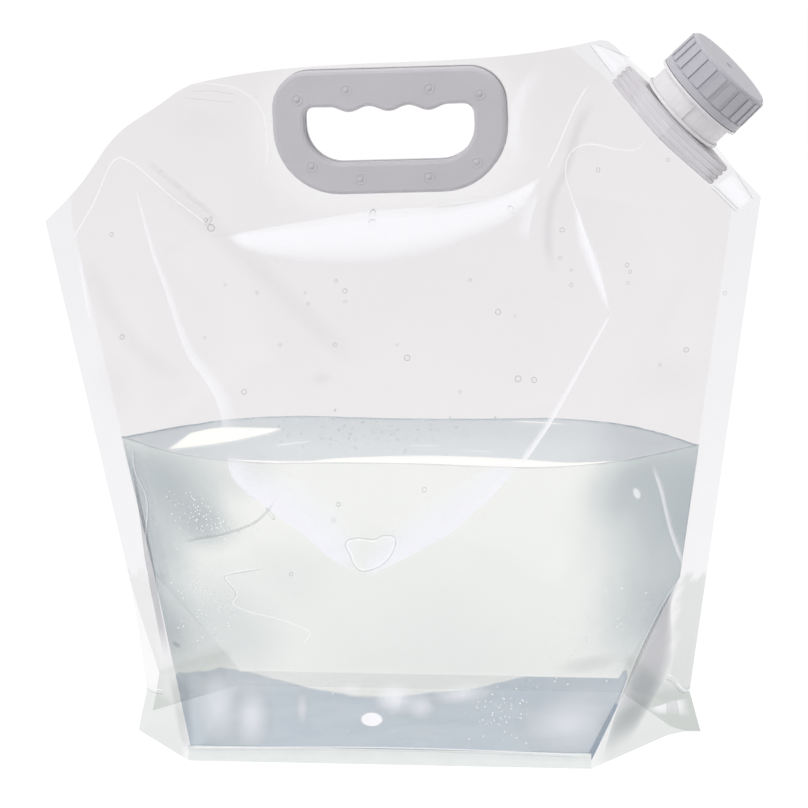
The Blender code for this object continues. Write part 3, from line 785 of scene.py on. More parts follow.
def floor_runs():
    """(share across, height) of each rung's end, from left peak to right peak."""
    rises = [mix(HEM_HEIGHT, GUSSET_RISE, step / FLOOR_ROWS) for step in
             range(FLOOR_ROWS, 0, -1)]
    left = [(-1.0, height) for height in rises]
    return left + [(share, HEM_HEIGHT) for share in WATER_COLUMNS] + [
        (1.0, height) for height in reversed(rises)
    ]


def floor_line(share, height, inset, lift):
    """Points of one rung, from front to rear. At its ends it climbs to the film."""
    points = []
    fold = crease_share(height)
    reach = max(crease_depth(height) - inset, 0.0)
    x = crease_shift(height) + share * (inner_line(height) - inset)
    for y_share in eased_shares(FLOOR_RUNGS):
        y = reach * y_share
        rim = smooth((abs(y) - reach + HEM_BLEND) / HEM_BLEND)
        level = mix(lift + fold * GUSSET_RISE, height, rim)
        place_x, place_z = slumped(x, level)
        points.append(Vector((place_x, y, place_z)))
    return points


def gusset_sheet():
    shape = bmesh.new()
    grid = [[shape.verts.new(p) for p in floor_line(share, height, GUSSET_ROOM, GUSSET_LIFT)]
            for share, height in floor_runs()]
    grid_faces(shape, grid)
    bmesh.ops.remove_doubles(shape, verts=shape.verts, dist=GUSSET_JOIN)
    piece = finish_piece("film_gusset", shape, [film_floor])
    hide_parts("bottom_gusset")
    fold_flat(piece)


gusset_sheet()

# %% [markdown]
# The water fills the bag up to a level line, whatever the lean of the bag. It
# is one closed skin: two walls a hair inside the films, the floor over the
# gusset, and the surface, whose rim climbs the film a little all round.

# %% The water's shape
WATER_ROOM = 0.9 * MM
WATER_LIFT = 0.8 * MM  # of the water's floor over the ground
LIP_RISE, LIP_REACH = 0.7 * MM, 1.6 * MM
WALL_ROWS, SURFACE_STEPS, RIM_STEPS = 44, 40, 2
LEVEL_STEPS = 12


def level_height(x, level):
    """Height on the straight pouch whose slumped place is at a level."""
    height = level
    for _ in range(LEVEL_STEPS):
        height += level - slumped(x, height)[1]
    return height


def wall_point(share, height, side):
    """A point of a wall, just inside its film."""
    x = crease_shift(height) + share * (inner_line(height) - WATER_ROOM)
    depth = max(film_depth(x, height) - WATER_ROOM, 0.0)
    if abs(share) == 1:
        depth = max(crease_depth(height) - WATER_ROOM, 0.0)
    place_x, place_z = slumped(x, height)
    return Vector((place_x, side * depth, place_z))


def wall_heights(share):
    """Heights of a wall's points, up to the rim of the surface."""
    top = level_height(across(share, WATER_LEVEL), WATER_LEVEL + LIP_RISE)
    low = [mix(HEM_HEIGHT, GUSSET_RISE, step / FLOOR_ROWS) for step in range(FLOOR_ROWS)]
    return low + [mix(GUSSET_RISE, top, step / WALL_ROWS) for step in range(WALL_ROWS + 1)]


def surface_line(share):
    """Points across the surface from the front wall to the rear one."""
    front = wall_point(share, wall_heights(share)[-1], -1)
    points = []
    for step in range(SURFACE_STEPS + 1):
        y = front.y * math.cos(math.pi * step / SURFACE_STEPS)
        rise = LIP_RISE * math.exp(-(abs(front.y) - abs(y)) / LIP_REACH)
        points.append(Vector((front.x, y, WATER_LEVEL + rise)))
    return points


print("the surface is", round(-2 * surface_line(0.0)[0].y / MM), "mm deep in its middle")

# %% [markdown]
# The sides of the water bend the light most where the bag narrows, so soft
# ellipses of shade are laid there, and two paler ones break them. The rear wall
# is seen through the front one and takes less. On the surface the shade follows
# the depth behind the rim and the distance to the tips.

# %% The water's shade
# Soft ellipses: middle x and z, half sizes (all in mm), strength
WALL_SHADES = [
    (-122, 118, 56, 30, 0.97), (-93, 106, 25, 17, 0.85), (-126, 84, 36, 48, 0.97),
    (-76, 56, 34, 28, 0.4), (104, 121, 28, 22, 0.8),
    (-116, 50, 36, 28, 0.95), (128, 106, 62, 66, 1.0), (114, 60, 40, 38, 0.8),
    (10, 48, 150, 60, 0.14),
]
WALL_LIGHTS = [(-74, 123, 16, 24, 0.85), (131, 108, 6, 24, 0.55)]
SOFT_EDGE = 0.9
REAR_WALL_SHARE = 0.35
REAR_START, REAR_BLEND, REAR_SHADE = -30 * MM, 75 * MM, 0.40
TIPS_MIDDLE, TIPS_START, TIPS_BLEND, TIPS_SHADE = -12 * MM, 78 * MM, 40 * MM, 0.70
FRONT_SHADE = 0.12


def soft_ellipses(x, z, ellipses):
    """How much of the light all the ellipses together leave."""
    left = 1.0
    for middle_x, middle_z, half_x, half_z, strength in ellipses:
        off = math.hypot((x / MM - middle_x) / half_x, (z / MM - middle_z) / half_z)
        left *= 1 - strength * smooth((1 - off) / SOFT_EDGE)
    return left


def wall_shade(point):
    shade = 1 - soft_ellipses(point.x, point.z, WALL_SHADES)
    if point.y > 0:
        return REAR_WALL_SHARE * shade
    return shade * soft_ellipses(point.x, point.z, WALL_LIGHTS)


def surface_shade(point):
    """Deeper along the rear and at both tips, pale at the front's middle."""
    rear = smooth((point.y - REAR_START) / REAR_BLEND)
    tips = smooth((abs(point.x - TIPS_MIDDLE) - TIPS_START) / TIPS_BLEND)
    return clamp(FRONT_SHADE + REAR_SHADE * rear + TIPS_SHADE * tips)


# %% The water as one piece
WATER_JOIN = 0.5 * MM
TOP, RIM, FLOOR = 1, 2, 3  # places in the piece's list of finishes; the walls have 0


def water_body():
    """Walls, surface with its rim, and floor, each with its own finish."""
    shape = bmesh.new()
    shade = shape.verts.layers.float.new("shade")
    for side in (-1, 1):
        heights = [wall_heights(share) for share in WATER_COLUMNS]
        grid = [
            [shape.verts.new(wall_point(share, rows[row], side))
             for share, rows in zip(WATER_COLUMNS, heights)]
            for row in range(FLOOR_ROWS + WALL_ROWS + 1)
        ]
        grid_faces(shape, grid)
        for vert in sum(grid, []):
            vert[shade] = wall_shade(vert.co)
    surface = [[shape.verts.new(p) for p in surface_line(share)] for share in WATER_COLUMNS]
    for (_, step), face in grid_faces(shape, surface).items():
        near = min(step, SURFACE_STEPS - 1 - step)
        face.material_index = RIM if near < RIM_STEPS else TOP
        for vert in face.verts:
            vert[shade] = surface_shade(vert.co)
    floor = [[shape.verts.new(p) for p in floor_line(share, height, WATER_ROOM, WATER_LIFT)]
             for share, height in floor_runs()]
    for face in grid_faces(shape, floor).values():
        face.material_index = FLOOR
    bmesh.ops.remove_doubles(shape, verts=shape.verts, dist=WATER_JOIN)
    fold_flat(finish_piece(
        "water_body", shape, [water_wall, water_top, water_rim, water_floor]))


water_body()

# %% [markdown]
# Next come the patches on the film. A line is given by a few places, seen from
# the front in millimetres, and a smooth curve is drawn through them in even
# steps. A strip lays widths to its left and right; a field spans two lines.
# Either way the result is rows of places with a cover, and one function lays all
# rows of a kind on the film as one piece.


# %% A curve through some places
FINE_STEPS = 10  # between two places
NO_LENGTH = 1e-9


def traced(places, count):
    """Even steps along a smooth curve through some places."""
    knots = [Vector(p) for p in places]
    knots = [2 * knots[0] - knots[1], *knots, 2 * knots[-1] - knots[-2]]
    fine = []
    for a, b, c, d in zip(knots, knots[1:], knots[2:], knots[3:]):
        for step in range(FINE_STEPS):
            t = step / FINE_STEPS
            fine.append(0.5 * (2 * b + (c - a) * t + (2 * a - 5 * b + 4 * c - d) * t * t
                               + (3 * b - a - 3 * c + d) * t ** 3))
    fine.append(knots[-2])
    run = [0.0]
    for a, b in zip(fine, fine[1:]):
        run.append(run[-1] + (b - a).length)
    points, at = [], 0
    for step in range(count):
        goal = run[-1] * step / (count - 1)
        while at < len(run) - 2 and run[at + 1] < goal:
            at += 1
        share = clamp((goal - run[at]) / max(run[at + 1] - run[at], NO_LENGTH))
        points.append(fine[at].lerp(fine[at + 1], share))
    return points


def between(values, share):
    """A value at a share of the way along a list."""
    if not isinstance(values, (list, tuple)):
        return values
    at = clamp(share) * (len(values) - 1)
    low = min(int(at), len(values) - 2)
    return mix(values[low], values[low + 1], at - low)


print("half way through 0, 4, 6 is", between([0, 4, 6], 0.5))

# %% Strips, hairlines, fields and spots
PATCH_STEPS = 48
SPOT_RINGS, SPOT_SIDES = 8, 32
BRIGHT = 0.9  # cover of a sharp line


def end_fade(along, taper):
    """1 along the middle of a patch, falling to 0 at both of its ends."""
    return smooth(min(along, 1 - along) / taper) if taper else 1.0


def strip(places, left, right, covers, taper, count=PATCH_STEPS):
    """Rows of (place, cover) along a line, with widths to its left and right."""
    points = traced(places, count)
    rows = []
    for step, point in enumerate(points):
        along = step / (count - 1)
        ahead = points[min(step + 1, count - 1)] - points[max(step - 1, 0)]
        normal = Vector((-ahead.y, ahead.x)).normalized()
        fade = end_fade(along, taper)
        reach = [mix(-between(right, along), between(left, along), n / (len(covers) - 1))
                 for n in range(len(covers))]
        rows.append([(point + normal * r, c * fade) for r, c in zip(reach, covers)])
    return rows


def hairline(places, reach, most, taper, count=PATCH_STEPS):
    """A thin line that is strongest along its middle."""
    return strip(places, reach, reach, [0, most, 0], taper, count)


def field(first, second, covers, taper, count=PATCH_STEPS):
    """Rows of (place, cover) that span two lines."""
    rows = []
    for step, (a, b) in enumerate(zip(traced(first, count), traced(second, count))):
        fade = end_fade(step / (count - 1), taper)
        rows.append([(a.lerp(b, n / (len(covers) - 1)), c * fade)
                     for n, c in enumerate(covers)])
    return rows


def spot(x, z, half_x, half_z, most, crisp=0.0, turn=0.0):
    """Rows of a round patch that fades from its middle, or is crisp at its rim."""
    rows = []
    for ring in range(SPOT_RINGS + 1):
        share = ring / SPOT_RINGS
        cover = most * (1.0 if share < crisp else smooth((1 - share) / (1 - crisp)))
        row = []
        for step in range(SPOT_SIDES + 1):
            angle = 2 * math.pi * step / SPOT_SIDES
            off = Vector((half_x * share * math.cos(angle), half_z * share * math.sin(angle)))
            off.rotate(Matrix.Rotation(math.radians(turn), 2))
            row.append((Vector((x, z)) + off, cover))
        rows.append(row)
    return rows


print("a spot has", len(spot(0, 0, 1, 1, 1)), "rings")

# %% Laying patches on the film
PATCH_JOIN = 0.002 * MM  # points nearer than this become one


def lay(name, patches, surface, proud, place=None):
    """One piece from many patches. place turns a seen place into a point."""
    shape = bmesh.new()
    cover = shape.verts.layers.float.new("cover")
    for rows in patches:
        grid = []
        for row in rows:
            line = []
            for seen, strength in row:
                x, z = seen.x * MM, seen.y * MM
                vert = shape.verts.new(place(x, z) if place else on_front(x, z, proud))
                vert[cover] = strength
                line.append(vert)
            grid.append(line)
        grid_faces(shape, grid)
    bmesh.ops.remove_doubles(shape, verts=shape.verts, dist=PATCH_JOIN)
    piece = finish_piece(name, shape, [surface])
    fold_flat(piece)


# %% [markdown]
# The broad streaks come first, all painted highlights. Under the handle a slack
# field shines as a long crescent. Below it the film is pushed in to a wide V,
# whose outer edge is a crisp crease and whose inside has a softer painted
# highlight. From the V's right end the crease runs up and round towards the
# spout. The film by the spout's plinth is painted a little paler.

# %% Broad streaks
CRESCENT_TOP = [(-88.5, 230), (-74.1, 232.9), (-58.4, 235.7), (-39.3, 239.1),
                (-20.3, 242.1), (-1.4, 243.6), (18.1, 244.9), (36.9, 248.6),
                (49.2, 253.7), (59.4, 259.4)]
CRESCENT_LOW = [(-88.5, 230), (-76.9, 224.6), (-56.8, 221.5), (-37.4, 220.3),
                (-18.4, 221.1), (-4.1, 223.1), (13.2, 227.2), (24, 231.2),
                (46.8, 241.5), (59.4, 259.4)]
VEE_LEFT = [(-128.8, 255.4), (-123.4, 226.6), (-114.5, 207.2), (-102.7, 181.4),
            (-91.9, 168.9), (-85.1, 158.3), (-80.8, 140.6), (-76.7, 127.3),
            (-60.6, 115.7), (-41.9, 101.9), (-32.5, 93.8), (-20.9, 86.3)]
VEE_RIGHT = [(-20.9, 86.3), (-13.9, 86.4), (-2.2, 91.6), (21.4, 104.9), (35.5, 117),
             (46, 127.6), (55.2, 136.9), (66, 152.6), (74.8, 168), (84.2, 185.4),
             (92.4, 200.6)]
AT_WATER = 6  # the place in both lists that lies near the water line
VEE_UP = [(92.4, 200.6), (86, 220.5), (78.1, 237.7), (70, 257.1), (71.4, 269.2),
          (79.9, 274.3), (94.5, 272.9), (103, 273.4), (109, 279.5)]
VEE_UP_GLOW = [(74.5, 247), (80.9, 231), (87.4, 215), (91.6, 202)]
CRESCENT_TIP = [(53, 230), (54, 241), (57.5, 253)]
HANDLE_SIDE = [(60.5, 311), (49.5, 296), (45.5, 276), (49.5, 262)]
PLINTH_INNER = [(98.6, 295.1), (109.1, 284.2), (119.0, 273.4), (128.9, 262.5),
                (135.8, 256.4)]
PLINTH_OUTER = [(104.0, 305.0), (115.5, 292.4), (126.3, 280.7), (135.7, 270.3),
                (142.6, 263.7)]
SOFT_IN = [0.85, 0.8, 0.66, 0.45, 0.22, 0]

broad = [
    field(CRESCENT_TOP, CRESCENT_LOW, [0.5, 0.85, 0.85, 0.8, 0.55, 0.1], 0.06),
    strip(VEE_LEFT[:AT_WATER + 1], [0.8, 2.0, 3.4, 6, 9], 0.2,
          [0.62, 0.55, 0.42, 0.25, 0], 0.15),
    strip(VEE_UP_GLOW, 0.5, [1.5, 4.6, 3.4, 1.5], [0, 0.3, 0.6, 0.8, 0.5], 0.15),
    strip(CRESCENT_TIP, 6.5, 0.6, [0.5, 0.42, 0.3, 0.15, 0], 0.3),
    strip(HANDLE_SIDE, 3.5, 3.5, [0, 0.3, 0.35, 0.3, 0], 0.3),
    field(PLINTH_INNER, PLINTH_OUTER, [0.1, 0.24, 0.24, 0.16], 0.15),
]
wet_streaks = [
    strip(VEE_LEFT[AT_WATER:], [8, 14, 22, 20, 12], 0.2, SOFT_IN, 0.12),
    strip(VEE_RIGHT[:AT_WATER + 1], [9, 16, 20, 15, 8], 0.2, SOFT_IN, 0.12),
]
lay("streak_broad", broad, glint, 0.5 * MM)
lay("streak_wet", wet_streaks, soft_glint, 0.5 * MM)

# %% [markdown]
# Thin painted highlights mark the sharp creases: the corner below the left
# shoulder, the V's outer edge, the fold by the handle and the one that rings the
# spout's throat. A few more run down the water's sides, where the film is
# stretched, and the V ends in a small heart-shaped tip.

# %% Bright creases
LEFT_SHOULDER = [(-159.7, 227.3), (-148.5, 244.2), (-137.4, 260.1), (-128.5, 261.1),
                 (-112.5, 247.8), (-94.6, 234)]
LEFT_SEAL = [(-157, 222.7), (-154.6, 204), (-151.3, 185.3)]
HANDLE_FOLD = [(81.9, 303), (74.8, 292.4), (65.4, 271.3), (59.3, 259.3)]
LEFT_KINKS = [(-62.9, 89.1), (-77.9, 85.3), (-80.6, 82), (-75, 76.1), (-77.7, 71),
              (-70.5, 68.4), (-55.8, 65.9), (-41.7, 60.1), (-44.1, 54.7), (-45.3, 50.7)]
WATER_RIGHT = [(110.5, 133), (114.4, 117.8), (118, 97.2), (123.6, 75.3)]
WATER_LEFT = [(-131.7, 133), (-131.5, 120.6), (-125.1, 107.8), (-127.8, 86.7),
              (-127.4, 73)]
STRIP_TOP = [(-99, 6.2), (-46.2, 7.4), (-0.5, 7.8), (45.1, 7.4), (85.9, 6.4)]
SHOULDER_LOOP = [(-108.7, 296.4), (-103.1, 300.1), (-92.4, 300.2), (-80, 297.5),
                 (-70, 288.3), (-67.5, 269.9), (-70.5, 256)]
LEFT_FLAP = [(-131, 21.2), (-124, 21), (-113.9, 24.1)]
CREASE_RIGHT = [(122.2, 73.9), (114.9, 64.7), (105, 45.6), (97.5, 26.4), (89.7, 1)]
RIGHT_FLAP = [(128.5, 24.4), (122.9, 19.5), (114.7, 30.6)]
WELD_END = [(80.3, 319.7), (91.6, 304.9)]
WELD_END_OUTER = [(86.5, 319), (99.7, 311)]
FLAP_SHINE_TOP = [(106.5, 16.2), (115.3, 14.4), (124.8, 15.8)]
FLAP_SHINE_LOW = [(108.4, 13.2), (116.9, 8.1), (127.0, 6.8)]
WELD_FOOT = [(137.6, 256), (149, 244)]
WELD_FOOT_OUTER = [(145.2, 261.4), (153.8, 248.6)]
HEART = [(-23.9, 101.2), (-19.6, 101.9), (-12.7, 101.2), (-8.3, 103), (-3.6, 102.6),
         (-3.5, 98.2), (-6.5, 93.1), (-10.8, 89.6), (-17.7, 87.8), (-21.2, 90.4),
         (-23, 94.7), (-25.1, 99), (-23.9, 101.2)]

creases = [
    hairline(LEFT_SHOULDER, 0.45, BRIGHT, 0.06),
    strip(LEFT_SEAL, 1.4, 0.5, [0, BRIGHT, 0], 0.3),
    strip(VEE_RIGHT[AT_WATER:], [3.0, 2.4, 1.6, 1.0], 0.3, [0.75, 0.8, 0.45, 0], 0.05),
    strip(VEE_UP, [0.5, 1.6, 2.2, 0.8, 0.5, 0.5, 0.9, 0.6, 0.4],
          [0.3, 1.2, 1.6, 0.6, 0.4, 0.4, 0.4, 0.4, 0.3], [0, 0.7, 0], 0.08),
    strip(HANDLE_FOLD, 0.5, 0.6, [0, BRIGHT, 0], 0.2),
    hairline(LEFT_KINKS, 0.35, BRIGHT, 0.08),
    strip(WATER_RIGHT, 0.9, 1.3, [0, 0.55, 0.3, 0], 0.2),
    hairline(WATER_LEFT, 0.4, BRIGHT, 0.1),
    hairline(STRIP_TOP, 0.4, BRIGHT, 0.04),
    hairline(SHOULDER_LOOP, 0.9, 0.35, 0.2),
    hairline(LEFT_FLAP, 0.4, BRIGHT, 0.2),
    hairline(CREASE_RIGHT, 0.4, 0.6, 0.1),
    hairline(RIGHT_FLAP, 0.6, BRIGHT, 0.2),
    field(WELD_END, WELD_END_OUTER, [0.4, 0.9, 0.5, 0.8], 0.1, count=16),
    field(FLAP_SHINE_TOP, FLAP_SHINE_LOW, [0.7, 0.75, 0.5, 0.1], 0.3),
    field(WELD_FOOT, WELD_FOOT_OUTER, [0.5, 0.9, 0.9, 0.4], 0.1, count=16),
    strip(HEART, 0.1, 0.9, [0, BRIGHT, 0], 0),
    spot(-13.3, 20.5, 5.2, 3.3, 0.95, 0.85),
    spot(104.2, 119.1, 1.6, 3.6, 0.6, 0.5, 20),
]
lay("streak_thin", creases, glint, 0.7 * MM)

# %% [markdown]
# Each crease has its shady side. Soft grey bands cross the slack film, thin dark
# lines edge the weld of the spout, and beside the water the folded film lies in
# shade, most of all in the wedge outside the right-hand crease.

# %% Soft shade
SHOULDER_SHADE = [(-122.5, 257.9), (-94.6, 234), (-59.7, 208.7), (-35.1, 188.3),
                  (-18.4, 175.7)]
SHOULDER_PLEAT = [(-122, 263), (-106, 250), (-90, 237)]
LEFT_SHADE = [(-155.1, 222.7), (-141.7, 195.6), (-126, 179.1), (-99.8, 166.7)]
THROAT_SHADE = [(84.5, 296), (76.5, 284), (69.6, 262.3), (63.4, 248.5), (62.7, 232),
                (67, 216)]
WIDE_SOFT = [0, 0.35, 0.8, 1, 0.8, 0.35, 0]

shades = [
    strip(SHOULDER_SHADE, 6, 6, [0.16 * c for c in WIDE_SOFT], 0.2),
    strip(SHOULDER_PLEAT, 1.6, 2.2, [0, 0.3, 0.3, 0], 0.2),
    strip(LEFT_SHADE, 7, 7, [0.16 * c for c in WIDE_SOFT], 0.25),
    strip(THROAT_SHADE, 3.2, 3.2, [0.36 * c for c in WIDE_SOFT], 0.2),
    spot(-38, 172, 7, 4, 0.22), spot(120, 170, 26, 16, 0.1), spot(-96, 281, 22, 13, 0.08),
    spot(-140, 160, 16, 22, 0.12),
]
lay("shade_broad", shades, shadow, 0.3 * MM)

# %% Dark lines and wedges
# Lines that edge the spout's weld: places, reach to each side in mm
WELD_LINES = [([(136.4, 256.1), (148.3, 243.9)], 0.25),
              ([(135.4, 255.1), (147.3, 242.9)], 0.25),
              ([(146.3, 262), (154.9, 248.6)], 0.2),
              ([(80.3, 319.7), (91.6, 304.9)], 0.2),
              ([(83.9, 319.4), (99.7, 313.1)], 0.2)]
LEFT_RIPPLE = [(-106.8, 94.3), (-94.2, 99.3), (-78.8, 104.4), (-66.7, 110),
               (-59.8, 116.9), (-57.1, 121.3)]
KINKS_SHADE = [(-62.9, 88.3), (-77.9, 84.5), (-81.6, 82), (-76, 76.1), (-78.7, 71)]
WATER_LEFT_SHADE = [(-130.9, 133), (-130.5, 120.6), (-124.1, 107.8), (-126.8, 86.7)]
STRIP_SHADE = [(-99, 5), (-46.2, 6.2), (-0.5, 6.6), (45.1, 6.2), (85.9, 5.2)]
LEFT_FLAP_SHADE = [(-129, 19.6), (-122, 19.8), (-113, 22.6)]
RIGHT_FLAP_SHADE = [(126.5, 23.2), (121.6, 18.4), (113.7, 28.6)]
WEDGE_OUTER = [(123, 73), (118, 64), (118.4, 46), (116, 30), (101, 3)]
WATER_EDGE_OUTER = [(-134.0, 127.4), (-131.3, 105.7), (-129.5, 86.3), (-127.4, 71.1),
                    (-121.2, 54.4), (-114.4, 36.3)]
WATER_EDGE_INNER = [(-133.4, 127.5), (-128.7, 104.0), (-125.0, 83.6), (-122.1, 66.6),
                    (-115.5, 49.5), (-110.7, 37.5)]
FOOT_OUTER = [(-112.9, 32.5), (-109.1, 21.7), (-104.4, 10.7), (-99.7, 2.9)]
FOOT_INNER = [(-100.1, 35.5), (-97.6, 24.4), (-95.2, 12.8), (-93.6, 3.9)]
SHOULDER_LINES = [[(-107, 293.4), (-95, 292.8), (-80, 291.6)],
                  [(-104, 296.6), (-92, 297), (-80, 295)]]

lines = [hairline(places, reach, BRIGHT, 0.1, count=12) for places, reach in WELD_LINES]
lines += [
    strip(LEFT_RIPPLE, 0.3, 1.6, [0, 0.45, 0.2, 0], 0.2),
    hairline(KINKS_SHADE, 0.25, 0.6, 0.1),
    strip(WATER_LEFT_SHADE, 0.3, 0.9, [0, 0.55, 0.2, 0], 0.1),
    strip(HEART, 0.75, -0.1, [0, 0.5, 0.1], 0),
    hairline(STRIP_SHADE, 0.25, 0.35, 0.04),
    hairline(LEFT_FLAP_SHADE, 0.3, 0.5, 0.2),
    hairline(RIGHT_FLAP_SHADE, 0.3, 0.5, 0.2),
    field(CREASE_RIGHT, WEDGE_OUTER, [0.4, 0.6, 0.7, 0.74, 0.74, 0.7, 0.5, 0], 0.2),
    field(WATER_EDGE_OUTER, WATER_EDGE_INNER, [0.62, 0.62], 0.2),
    field(FOOT_OUTER, FOOT_INNER, [0, 0.3, 0.36, 0.3, 0], 0.2),
]
lines += [hairline(places, 0.2, 0.4, 0.2) for places in SHOULDER_LINES]
lines += [spot(-108.6, 45.4, 3.4, 1.5, 0.5, 0.2, -10), spot(83.5, 44.2, 15, 5, 0.22, 0.2)]
lay("shade_lines", lines, dark_line, 0.9 * MM)

# %% [markdown]
# Through the water the bag's floor shows, folded and pressed flat under the
# load. Where a fold turns to the light it is a pale, soft-edged dapple.

# %% Dapples on the floor
dapples = [
    spot(-84, 26, 12, 20, 0.4), spot(-2.8, 30, 12, 9, 0.7),
    spot(-68.4, 20.6, 10, 17, 0.5), spot(8.6, 26.8, 9, 8, 0.45),
    spot(28, 33, 17, 6, 0.45, 0, 8), spot(76, 20, 24, 16, 0.4),
    spot(-45, 25, 3.5, 9, 0.3), spot(-23, 34, 8, 4.6, 0.3),
]
lay("floor_dapples", dapples, glint, 0.4 * MM)

# %% [markdown]
# On the water's surface the studio's lamps mirror as a long white lens along the
# front, a patch at the left and a few short dashes. They lie a hair above the
# surface. The lens follows the water's own rim, so its near edge is worked out
# from the film's depth.

# %% Glints on the surface
GLINT_LIFT = 0.5 * MM
LENS_FAR = [(-84, -51), (-60, -50.4), (-43.3, -49.5), (-28.3, -41), (9.8, -33.5),
            (46.8, -37.5), (75.4, -45), (97, -44)]
LENS_GAP, LENS_FAR_GAP = 0.8, 1.4  # least distance of its two edges from the rim, mm
PATCH_NEAR = [(-113, -28), (-98, -18), (-84, -4), (-70, 16)]
PATCH_FAR = [(-109, 10), (-98, 24), (-84, 26), (-66, 25)]
DASHES = [([(-66, -17), (-56, -9), (-48, -3)], 1.4),
          ([(-6, -10), (4, -11), (14, -12)], 0.9),
          ([(20, -21), (30, -22), (41, -23)], 0.9),
          ([(36, 50), (52, 47), (66, 42)], 2.0)]


def on_surface(x, y):
    return Vector((x, y, WATER_LEVEL + GLINT_LIFT))


def front_rim(x):
    """Depth of the water's front edge at a seen place, in millimetres."""
    straight, height = unslumped(x * MM, WATER_LEVEL)
    return -(film_depth(straight, height) - WATER_ROOM) / MM


lens_near = [(x, front_rim(x) + LENS_GAP) for x, _ in LENS_FAR]
lens_far = [(x, max(y, front_rim(x) + LENS_FAR_GAP)) for x, y in LENS_FAR]
glints = [
    field(lens_near, lens_far, [1, 1, 0.95, 0.7], 0.04),
    field(PATCH_NEAR, PATCH_FAR, [0.9, 1, 1, 0.8], 0.06, count=24),
]
glints += [hairline(places, reach, BRIGHT, 0.3, count=16) for places, reach in DASHES]
lay("surface_glints", glints, water_glint, 0, on_surface)

# %% [markdown]
# Drops cling inside the bag above the water: small flattened beads, clear in
# the middle with a dark rim. A few longer ones have run a little. Below the
# water line, and on the surface, gather strings and clouds of tiny bubbles.
# Their places are random within clouds, from a fixed seed.

# %% Drops and bubbles
# Round drops: place in x and z, radius, all in mm
DROPS = [
    (-94.6, 233.5, 2.2), (-29.5, 208.9, 1.5), (-34, 213, 1.1), (0.7, 181.2, 1.9),
    (-73.5, 165.5, 1.6), (41.6, 201.7, 1.7), (52, 173.7, 2.0), (59.2, 173.3, 1.6),
    (68.8, 236.2, 1.5), (98.9, 221.5, 1.3), (124.9, 181.3, 1.6), (-19.4, 237.1, 2.3),
    (-135.6, 183.8, 1.5), (-46.2, 203.2, 0.9), (27.9, 214.7, 1.0), (68.6, 224.6, 1.1),
    (73.9, 219.7, 0.8), (74.2, 213.4, 1.1), (100.4, 218.5, 1.1), (99.6, 213.8, 1.0),
    (84.7, 262.8, 1.2), (117.2, 268.7, 1.2), (-140.9, 229.9, 1.2), (-85.8, 210, 0.9),
    (-57.9, 185.8, 1.0), (-32.6, 186.2, 1.2), (-4.2, 186.6, 0.8), (25.5, 167.2, 0.9),
    (113.9, 176.2, 0.9), (-70.4, 207.2, 1.0), (-48, 207.7, 0.8), (-93.6, 187.4, 0.9),
    (49.5, 200.2, 0.8), (-29.1, 204.4, 1.0), (141.6, 205.5, 1.3), (-97, 237, 1.3),
    (10, 124, 1.4), (-29, 117, 1.3), (-31, 110, 1.4), (-50, 86, 1.2),
]
DROP_SHRINK, DROP_LEAST, DROP_MOST = 0.8, 0.76, 0.96  # of the radius: across, up
# Drops that have run: place, half width, half height, in mm, and lean in degrees
LONG_DROPS = [(-19.6, 240, 1.6, 3.2, 10), (44.8, 244, 1.3, 2.2, -30),
              (-59.6, 113, 0.8, 3.4, -35), (-33.4, 98.4, 0.8, 3.6, -45),
              (-95.6, 236.6, 1.0, 2.6, 35)]
# Clouds of bubbles: middle x and z, half sizes in mm, how many, radius in mm
CLOUDS = [(-98, 110, 13, 9, 60, 0.42), (-77, 105, 14, 5, 60, 0.45),
          (-92, 72, 20, 22, 130, 0.4), (45, 24, 20, 14, 70, 0.36),
          (78, 58, 30, 24, 90, 0.36), (-20, 55, 70, 34, 70, 0.34)]
SURFACE_CLOUD = (-16, 22, 48, 40, 60, 0.6)
BUBBLE_LEAST, BUBBLE_MOST = 0.6, 1.3  # of the cloud's radius
DROP_PROUD, BUBBLE_PROUD, SURFACE_BUBBLE_LIFT = -0.2 * MM, -0.7 * MM, 0.3 * MM
BEAD_FLATNESS = 0.5


def beads(name, places, surface, put):
    """Flattened balls. Each place is x, z, half width, half height and turn."""
    shape = bmesh.new()
    for x, z, half_x, half_z, turn in places:
        made = bmesh.ops.create_icosphere(shape, subdivisions=2, radius=1)["verts"]
        depth = BEAD_FLATNESS * min(half_x, half_z)
        size = Matrix.Diagonal((half_x * MM, depth * MM, half_z * MM, 1))
        lean = Matrix.Rotation(math.radians(turn), 4, "Y")
        middle = Matrix.Translation(put(x * MM, z * MM))
        bmesh.ops.transform(shape, verts=made, matrix=middle @ lean @ size)
    fold_flat(finish_piece(name, shape, [surface]))


def cloud(middle_x, middle_z, half_x, half_z, count, radius):
    """Random places, thickest in the middle."""
    made = []
    for _ in range(count):
        size = radius * random.uniform(BUBBLE_LEAST, BUBBLE_MOST)
        made.append((random.gauss(middle_x, half_x / 2), random.gauss(middle_z, half_z / 2),
                     size, size, 0))
    return made


random.seed(7)
round_drops = [(x, z, DROP_SHRINK * r, r * random.uniform(DROP_LEAST, DROP_MOST), 0)
               for x, z, r in DROPS]
beads("drops", round_drops + LONG_DROPS, drop_clear,
      lambda x, z: on_front(x, z, DROP_PROUD))
bubble_places = sum((cloud(*c) for c in CLOUDS), [])
beads("bubbles", bubble_places, bubble_white, lambda x, z: on_front(x, z, BUBBLE_PROUD))
beads("surface_bubbles", cloud(*SURFACE_CLOUD), bubble_white,
      lambda x, y: Vector((x, y, WATER_LEVEL + SURFACE_BUBBLE_LIFT)))

